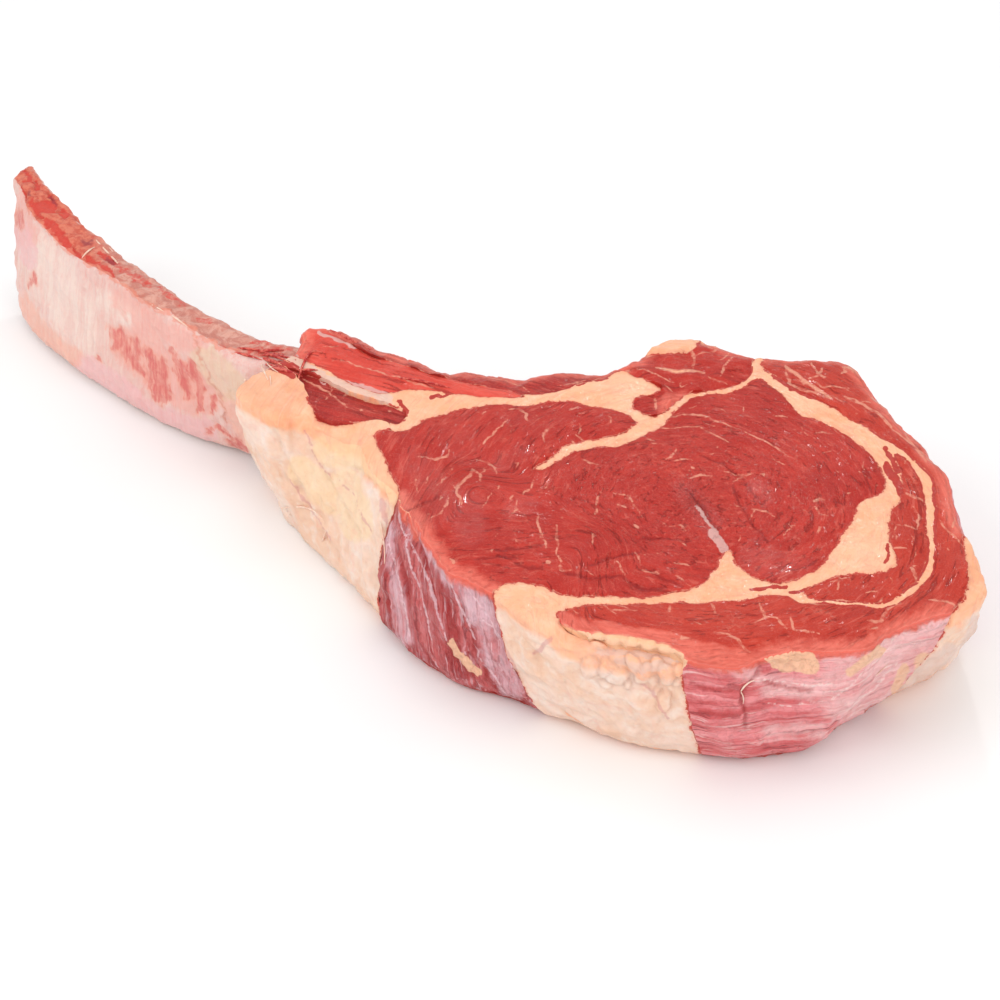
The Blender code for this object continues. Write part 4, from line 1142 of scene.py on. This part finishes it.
dress_muscle("finger_meat", "rib_finger", STRIP_VEINS, "muscle", cut_bright, 65, 10, 1.6,
             film=STRIP + FINGER_STREAK, along=RIBWARD)
dress_muscle("rear_meat", "rear_strip", STRIP_VEINS, "dark_muscle", cut_dark, 66, 16, 1.6,
             along=RIBWARD)
dress_muscle("under_rib_meat", "under_rib_strip", (), "dark_muscle", cut_dark, 67, 4)
dress_muscle("wedge_muscle", "wedge", STRIP_VEINS, "dark_muscle", cut_dark, 68, 8, 1.4, film=STRIP,
             along=RIBWARD)

# --- the fat ------------------------------------------------------------------------------
# Peach seams between the muscles, and thick cream cover fat on the bone end and in front.
FATS = ("seam_fat", "chine_fat", "bone_end_fat", "front_fat", "edge_fat")
FRONT_BEADS = (
    (600, 640, 10), (615, 641, 8), (636, 644, 9), (651, 646, 8), (666, 649, 8), (589, 667, 10),
    (606, 666, 9), (617, 674, 10), (633, 664, 7), (643, 673, 11), (659, 668, 8), (668, 676, 9),
    (682, 671, 8), (604, 683, 5), (627, 684, 5), (652, 684, 5), (679, 683, 5), (664, 700, 9),
)
BEAD_PATCH = ((10, 8, (598, 645), (640, 655), (680, 662)), (8, 8, (590, 665), (620, 672), (672, 674)))
FRONT_BAND = ((1.5, 5, (618, 660), (640, 666), (668, 664)),
              (1.6, 3, (600, 651), (623, 653), (655, 656), (680, 660)))
EDGE_SKIN = ((5, 9, (905, 690), (925, 672), (948, 650)), (2, 7, (935, 690), (960, 660), (975, 620)))
FRONT_STAIN = (
    (0.4, 2.6, (641, 682), (653, 691), (660, 701), (664, 713), (668, 721)),
    (1, 3, (535, 654), (543, 646), (551, 638)), (0.8, 2.5, (500, 640), (512, 660), (520, 690)),
    (1.0, 3, (452, 660), (470, 672), (486, 684)), (0.6, 2, (680, 640), (688, 660), (688, 700)),
)
FRONT_CREASES = (
    (2.2, (500, 609), (520, 636), (541, 662), (566, 682), (594, 699)),
    (2.0, (524, 640), (548, 650), (575, 654)), (2.0, (540, 700), (570, 712), (600, 722)),
    (2.0, (600, 700), (625, 704), (640, 716)),
)
BLOCK_GOLD = ((12, 14, (330, 448), (350, 452)), (10, 16, (345, 485), (356, 525)),
              (8, 12, (345, 440), (380, 470), (396, 490)),
              (8, 14, (300, 470), (330, 500)), (5, 10, (455, 664), (478, 682)),
              (7, 9, (594, 642), (640, 650), (676, 660)))
BLOCK_STAIN = (
    (0.1, 1.8, (305, 430), (312, 450), (322, 470), (334, 480)),
    (0.1, 1.6, (340, 480), (356, 500), (370, 530)),
    (0.5, 3.5, (380, 500), (387, 530), (387, 570)), (0.1, 1.6, (290, 480), (310, 510), (330, 540)),
)
BLOCK_CREASES = (
    (2.6, (300, 440), (322, 470), (345, 510), (368, 555), (385, 600)),
    (2.2, (270, 420), (285, 455), (305, 500), (330, 545)), (2.0, (335, 462), (360, 470), (388, 500)),
    (2.0, (380, 470), (386, 510), (384, 560)), (1.8, (310, 520), (335, 550), (352, 580)),
)
TORN = ((4, 5, (266, 360), (280, 366), (292, 372)), (2, 3, (292, 366), (302, 373), (318, 378)))
BLOCK_FACET = ((17, 10, (262, 386), (285, 392)),)
FAT_LUMPS = ((0.28, 11.0, 43), (0.16, 3.0, 72))
FAT_CREASE_DEPTH = 0.8
FAT_BEAD_RISE = 0.17


def dress_fat(node, name, slot, cream_wall, rough_wall=0.5):
    """Makes one body of fat; `cream_wall` is how pale its outer wall is."""
    flesh = Flesh(node, name, kin=FATS)
    flesh.raise_by(layered(flesh.points, FAT_LUMPS), np.where(flesh.cut, 1.0, 0.0))
    flow = np.column_stack((flesh.pixels @ (0.47, 0.88) / 26, flesh.pixels @ (0.88, -0.47) / 8,
                            np.zeros(len(flesh.points))))
    flesh.raise_by(rough_wall * cloud(flow, 1.0, 75) * flesh.facing
                   + 0.5 * cloud(flesh.points, 8.0, 73) + 0.2 * cloud(flesh.points, 3.0, 74),
                   np.where(flesh.side, ramp(flesh.to_rim, 0.0, 3.0), 0.0))
    flesh.press(FRONT_CREASES + BLOCK_CREASES, FAT_CREASE_DEPTH)
    # the rings round the beads carry painted crease shade
    beads = flesh.bead(FRONT_BEADS, FAT_BEAD_RISE)
    wall = np.where(flesh.side, 1.0, 0.0)
    facet = flesh.marks(BLOCK_FACET)
    cream = cream_wall * wall * ramp(flesh.to_rim, 0.5, 7.0) * (1 - facet) + 0.2 * facet
    zone = (cream, flesh.marks(BLOCK_GOLD) * wall * (1 - facet),
            np.maximum(flesh.marks(FRONT_BAND + STRIP + EDGE_SKIN), 0.5 * flesh.marks(BEAD_PATCH)))
    plain_edge = flesh.marks(((14, 3, *FAT_EDGES[0][1:]),))
    meat = flesh.marks(TORN + MEAT)
    meat = np.maximum(meat, flesh.marks(THIN_SEAMS) * ramp(flesh.to_border, 1.2, 0.6))
    tone = (flesh.marks(FRONT_STAIN + BLOCK_STAIN), 0.6 * beads + 0.35 * facet, wall)
    keep(flesh.mesh, "zone", np.column_stack(zone), "FLOAT_VECTOR")
    keep(flesh.mesh, "tone", np.column_stack(tone), "FLOAT_VECTOR")
    keep(flesh.mesh, "meat", meat)
    keep(flesh.mesh, "grain", grain_of_cut(flesh.points), "FLOAT_VECTOR")
    keep(flesh.mesh, "border", np.minimum(flesh.to_border + NO_VEIN * plain_edge, NO_VEIN))
    flesh.finish((beef_fat,) * len(FINE), slot)


dress_fat("seam_fat", "seam_fat_body", "seam_fat", 0.4)
dress_fat("chine_fat", "chine_fat_nub", "seam_fat", 0.3)
dress_fat("bone_end_fat", "bone_end_block", "cover_fat", 1.0, 0.8)
dress_fat("front_fat", "front_cover_fat", "cover_fat", 1.0)
dress_fat("edge_fat", "edge_cover_fat", "cover_fat", 0.75)

# --- the rib ------------------------------------------------------------------------------
# A flat curved rib, scraped but still under its thin membrane; its sawn tip and upper edge
# show red marrow between walls of spongy bone.
RIDGE = ((12, 176), (20, 186), (27, 205), (38, 221), (50, 234), (62, 246), (75, 256), (88, 264), (100, 270),
         (118, 281), (140, 298), (158, 311), (170, 312), (186, 325), (205, 338), (223, 348), (246, 358))
MARROW_CELLS = (
    (2.4, 2.5, (26, 172), (29, 178)), (2.4, 2.5, (36, 183), (37, 187)), (2.0, 2.5, (18, 184), (22, 198)),
    (2.4, 2.5, (32, 202), (40, 214)), (4.0, 3, (36, 208), (44, 206), (53, 208)),
    (1.2, 2, (48, 196), (56, 204)), (2.2, 2.5, (62, 212), (67, 214)), (3.0, 3, (46, 222), (52, 226)),
    (4.6, 3, (55, 230), (64, 240)), (3.4, 3, (68, 250), (76, 254)), (2.6, 3, (88, 260), (97, 265)),
    (2.0, 3, (104, 268), (112, 274)), (1.2, 2.5, (99, 252), (116, 264)),
)
# painted shade in the hollows of the marrow
MARROW_HOLLOW_SHADE = ((1.0, 1.6, (28.5, 191), (29.5, 195)), (0.8, 1.6, (48, 196), (57, 204)),
               (0.8, 1.8, (108, 259), (118, 266)), (1.0, 2.4, (84, 240), (90, 243)))
RED_STREAKS = (
    (1.6, 9, (119, 333), (122, 345), (128, 356)), (2.0, 8, (128, 352), (140, 372), (150, 380)),
    (2.2, 8, (150, 366), (155, 382), (158, 396)), (3.0, 8, (160, 364), (164, 382), (165, 398)),
    (2.0, 8, (148, 350), (156, 372)), (2.2, 8, (180, 368), (186, 384), (188, 394)),
    (2.0, 8, (190, 366), (195, 378), (200, 390)), (1.4, 3, (198, 392), (200, 410)),
    (1.6, 3, (215, 396), (213, 412)), (1.2, 8, (112, 330), (116, 345)), (1.0, 8, (134, 340), (138, 356)),
    (1.2, 3, (172, 350), (180, 372)), (1.0, 3, (98.5, 358.5), (99.5, 360)), (1.5, 3, (208, 430), (210, 432)),
    (1.0, 7, (17, 212), (20, 224)), (0.6, 6, (31, 274), (33, 284)), (2, 5, (236, 440), (244, 450)),
    (0.6, 4, (218, 426), (234, 441)),
)
BLUSH = ((14, 18, (135, 345), (165, 375), (200, 395)), (6, 10, (20, 205), (28, 240)),
         (5, 12, (120, 300), (160, 330), (195, 345)))
PALE_BONE = ((10, 30, (45, 262), (62, 300), (85, 330)), (4, 14, (100, 300), (130, 318)))
LOWER_ORANGE = ((3, 14, (20, 304), (34, 322), (52, 340), (75, 358)),
                (5, 6, (228, 400), (236, 420), (244, 436)))
LOWER_LILAC = ((8, 10, (84, 366), (120, 392), (160, 420), (205, 432)), (5, 8, (22, 230), (30, 260)))
GREEN_PATCH = ((11, 9, (206, 360), (218, 372), (232, 386)),)
RIDGE_GLOW = ((1.4, 2.4, (84, 262), (100, 270), (118, 281), (140, 298), (158, 311), (170, 313)),
              (1.2, 2.2, (172, 318), (186, 327), (205, 338), (223, 350), (240, 352)),
              (1.0, 2, (27, 205), (38, 221), (50, 234), (62, 246), (75, 256)))
MEMBRANE_EDGE = ((1.6, (194, 338), (202, 361), (213, 382), (223, 399), (226, 414), (225, 422)),)
TOP_RED = ((2.0, 4, (120, 268), (150, 286)), (2.0, 4, (160, 290), (185, 305)),
           (1.6, 3, (200, 318), (212, 321)),
           (2.2, 4, (240, 350), (262, 352), (290, 348)), (2.5, 4, (222, 348), (240, 362), (262, 366)),
           (1.6, 3, (250, 340), (275, 345)))
BONE_FRAY = 1.5          # how much noise frays the edges of the rib's colours
MEMBRANE, PALE_MEMBRANE = (0.73, 0.42, 0.37), (0.76, 0.50, 0.46)
STRIPE_PALE = (0.81, 0.60, 0.53)
STRIPE_RED = (0.76, 0.35, 0.31)
VESSEL_RED = (0.80, 0.34, 0.29)
BARE_BONE = (0.83, 0.67, 0.59)
BONE_BLUSH = (0.82, 0.36, 0.30)
BONE_LILAC = (0.80, 0.45, 0.46)
BONE_ORANGE = (0.86, 0.42, 0.30)
BONE_GREEN = (0.75, 0.56, 0.38)
STREAK_SOFT = (0.80, 0.36, 0.27)
STREAK_DEEP = (0.64, 0.12, 0.11)
BAND, PALE_BAND = (0.55, 0.195, 0.15), (0.70, 0.365, 0.29)
MARROW, PALE_MARROW = (0.56, 0.095, 0.06), (0.70, 0.20, 0.125)
CELL_RED = (0.62, 0.055, 0.04)
GLOW_PINK = (0.76, 0.24, 0.16)
HOLLOW_SHADE = (0.30, 0.04, 0.05)
MEMBRANE_EDGE_SHADE = (0.66, 0.27, 0.20)


def bone_material():
    """The rib: a dull pale membrane over bone, red marrow in the sawn top."""
    mix = new_mix("rib_membrane")
    place, grain = mix.place(), mix.stored("grain", "Vector")
    top, sawn, green = mix.three("zone")
    red, orange, lilac = mix.three("tone")
    cells, ridge, dark = mix.three("spot")
    blush, pale, edge = mix.three("more")

    def ragged(mask, scale, low, high):
        return mix.frayed(mask, place, scale, BONE_FRAY, low, high, 5.0, 0.7)

    mottle = mix.patches(place, 0.03, 0.35, 0.65, 3.0, 0.55)
    mix.colour = mix.tint(mottle, MEMBRANE, PALE_MEMBRANE)
    stripes = mix.patches(grain, 0.6, 0.36, 0.64, 5.0, 0.7, 0.5)
    mix.lay(STRIPE_PALE, stripes, 0.6)
    mix.lay(STRIPE_RED, mix.patches(grain, 1.1, 0.46, 0.36, 4.0, 0.7, 0.4), 0.6)
    mix.lay(VESSEL_RED, mix.hairlines(mix.noise(place, 0.16, 5.0, 0.7, 1.4), 0.015), 0.45)
    mix.lay(BARE_BONE, pale, mix.scaled(stripes, 0.35, 0.4))
    mix.lay(BONE_BLUSH, ragged(blush, 0.2, 0.2, 1.0), 0.5)
    mix.lay(BONE_LILAC, ragged(lilac, 0.15, 0.3, 1.0), 0.6)
    mix.lay(BONE_ORANGE, ragged(orange, 0.3, 0.15, 1.1), 0.5)
    mix.lay(BONE_GREEN, ragged(green, 0.2, 0.1, 1.2), 0.6)
    wrinkle = mix.scaled(mix.noise(grain, 1.1, 4.0, 0.6, 0.5), 2.0, -1.0)
    wrinkle = mix.plus(mix.stray(wrinkle, place, 0.3, 1.0, 4.0, 0.6, 0.6), red)
    mix.lay(STREAK_SOFT, mix.step(wrinkle, -0.2, 0.8), mix.step(red, 0.0, 0.15), 0.6)
    mix.lay(STREAK_DEEP, mix.step(wrinkle, 0.35, 1.35), mix.step(red, 0.0, 0.5), 0.85)
    band = mix.tint(mix.patches(place, 0.25, 0.38, 0.64, 5.0, 0.7, 0.8), BAND, PALE_BAND)
    marrow = mix.tint(mix.patches(place, 0.5, 0.36, 0.62, 4.0, 0.65), MARROW, PALE_MARROW)
    band = mix.tint(sawn, band, marrow)
    band = mix.tint(mix.times(ragged(cells, 0.6, 0.3, 0.8), 0.85), band, CELL_RED)
    mix.lay(band, mix.step(top, 0.3, 0.7))
    mix.lay(GLOW_PINK, ragged(ridge, 0.4, 0.3, 1.1), 0.6)
    # painted shade in the hollows of the marrow
    mix.lay(HOLLOW_SHADE, dark, 0.8)
    # painted shade along the pressed edge of the membrane
    mix.lay(MEMBRANE_EDGE_SHADE, edge, 0.7)
    height = mix.plus(mix.noise(place, 0.4, 4.0, 0.6), mix.times(mix.noise(grain, 1.0, 4.0, 0.6), 0.6))
    rough = mix.use("wet_film", Place=place, Slick=0.34)["Roughness"]
    return feed(mix, rough, height, 0.5, radius=(1.0, 0.5, 0.35))


rib = Flesh("rib_bone", "rib", {CUT: 0.55, SIDE: 0.8, UNDER: 1.5, HIDDEN: 9.0})
rib.ragged = 3.2
ridge = np.array(RIDGE, float)
ridge_height = np.interp(rib.pixels[:, 0], ridge[:, 0], ridge[:, 1])
above = ramp(ridge_height - rib.pixels[:, 1] + 1.5 * cloud(rib.points, 3.0, 84), -1.2, 1.2)
above = above * rib.facing
upright = (0.02, 0.05, 1.0)
rib_grain = grain_of_walls(rib.points, upright)
rib.raise_by(0.35 * cloud(rib.points, 8.0, 81) + 0.12 * cloud(rib_grain, 2.0, 82))
rib.raise_by(0.55 * cloud(rib.points, 2.4, 83), above)
cells = rib.marks(MARROW_CELLS)
rib.raise_by(-0.7 * cells, above)
rib.raise_by(0.6 * rib.marks(RIDGE_GLOW) * (0.6 + 0.6 * cloud(rib.points, 3.0, 85)))
rib.press(MEMBRANE_EDGE, 0.5)
rib.raise_by(-0.25 * rib.marks(RED_STREAKS))
sawn = above * ramp(rib.pixels[:, 0], 128, 78)
spots = {
    "zone": (above, sawn, rib.marks(GREEN_PATCH)),
    "tone": (rib.marks(RED_STREAKS) * (1 - above), rib.marks(LOWER_ORANGE), rib.marks(LOWER_LILAC)),
    "spot": (np.maximum(cells, 0.6 * rib.marks(TOP_RED)), rib.marks(RIDGE_GLOW), rib.marks(MARROW_HOLLOW_SHADE)),
    "more": (rib.marks(BLUSH), rib.marks(PALE_BONE), rib.marks(((0.4, 1.6, *MEMBRANE_EDGE[0][1:]),))),
}
for name, values in spots.items():
    keep(rib.mesh, name, np.column_stack(values), "FLOAT_VECTOR")
keep(rib.mesh, "grain", rib_grain, "FLOAT_VECTOR")
rib.finish((bone_material(),) * len(FINE), "bone")

# --- loose fibres, hairs and tatters ------------------------------------------------------
# Torn muscle fibres on the cut end, shreds of membrane on the block and the rib, and a few
# hairs: each is a thin tapered strand that starts and ends in the surface below it.


STAND_OFF = (-0.3, 0.8, 1.0, 0.7, 0.0)      # along a strand, as a share of its lift
TAPER = (0.5, 1.0, 0.9, 0.6, 0.25)
LIFT_WAY = -0.7 * np.array(sight) + np.array((0, 0, 0.6))


def strand(spots, lift, width, finish):
    """A tapered strand over some spots; `lift` is how far its middle stands off."""
    line = shown_at(spots)
    share = np.linspace(0, len(line) - 1, len(TAPER))
    line = np.column_stack([np.interp(share, np.arange(len(line)), line[:, axis]) for axis in range(3)])
    line += np.outer(np.array(STAND_OFF) * lift, LIFT_WAY)
    line = np.clip(line, LOW_CORNER + width, HIGH_CORNER - width)
    bpy.ops.curve.primitive_nurbs_path_add()
    path = bpy.context.object
    for point, spot, size in zip(path.data.splines[0].points, line, TAPER):
        point.co = (*(spot * MM), 1)
        point.radius = size
    path.data.bevel_depth = width * MM
    path.data.bevel_resolution = 1
    path.data.resolution_u = 5
    path.data.use_fill_caps = True
    path.data.materials.append(finish)
    bpy.ops.object.convert(target="MESH")
    return bpy.context.object


def strands(name, finish, lines):
    """Joins many strands into one piece."""
    made = [strand(spots, lift, width, finish) for lift, width, *spots in lines]
    bpy.ops.object.select_all(action="DESELECT")
    for piece in made:
        piece.select_set(True)
    bpy.context.view_layer.objects.active = made[0]
    bpy.ops.object.join()
    joined = bpy.context.object
    joined.name = name
    bpy.ops.object.transform_apply(location=True, rotation=True, scale=True)
    bpy.ops.object.shade_smooth()
    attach(joined, "root")


def simple(name, colour, other, scale):
    """One material of a strand: two colours in soft spots."""
    mix = new_mix(name)
    place = mix.place()
    spots = mix.noise(place, scale, 3.0, 0.6)
    mix.colour = mix.tint(mix.step(spots, 0.4, 0.6), colour, other)
    return feed(mix, mix.use("wet_film", Place=place)["Roughness"], spots, 0.2)


torn_red = simple("torn_fibre", (0.44, 0.03, 0.03), (0.70, 0.15, 0.11), 0.8)
shred_pale = simple("shred_of_membrane", (0.86, 0.55, 0.42), (0.90, 0.68, 0.56), 0.5)
strands("torn_fibres", torn_red, (
    (0.8, 0.7, (264, 352), (276, 358), (290, 362)), (1.0, 0.8, (263, 358), (275, 364), (290, 368)),
    (0.8, 0.7, (266, 364), (280, 369), (297, 374)), (0.6, 0.6, (270, 354), (283, 357), (296, 360)),
    (0.9, 0.6, (262, 355), (272, 356), (284, 354)), (0.7, 0.7, (272, 368), (286, 371), (303, 377)),
    (0.8, 0.6, (278, 361), (291, 366), (306, 374)), (0.8, 0.5, (300, 330), (304, 324), (312, 322)),
    (0.6, 0.6, (258, 352), (270, 351), (284, 350)), (0.5, 0.5, (298, 345), (308, 349), (322, 352)),
    (0.5, 0.6, (330, 330), (352, 341), (374, 352)), (0.5, 0.5, (400, 352), (424, 362), (450, 371)),
    (0.6, 0.5, (232, 352), (248, 356), (262, 360)), (0.6, 0.5, (238, 348), (256, 350), (270, 354)),
))
strands("shreds", shred_pale, (
    (0.6, 0.35, (261, 364), (264, 372), (268, 380)), (0.8, 0.3, (271, 366), (270, 376), (271, 386)),
    (0.5, 0.3, (266, 362), (272, 370), (278, 372)), (0.5, 0.5, (96, 240), (102, 238), (108, 246)),
    (0.5, 0.5, (186, 294), (193, 296), (198, 304)), (0.6, 0.4, (82, 258), (88, 252), (95, 247)),
    (0.5, 0.4, (282, 508), (286, 520), (294, 531)), (0.5, 0.4, (306, 540), (318, 552), (334, 566)),
    (0.6, 0.25, (926, 462), (930, 454), (934, 450)), (0.6, 0.2, (962, 528), (966, 519), (970, 515)),
    (0.5, 0.3, (741, 691), (746, 684), (755, 680)), (0.4, 0.22, (741, 692), (744, 698), (743, 704)),
    (0.4, 0.25, (892, 640), (905, 628), (920, 612)), (0.4, 0.25, (846, 700), (866, 686), (888, 664)),
    (0.5, 0.3, (170, 314), (180, 322), (192, 330)), (0.5, 0.3, (150, 304), (160, 310), (172, 316)),
    (0.4, 0.25, (380, 520), (386, 548), (384, 580)),
))
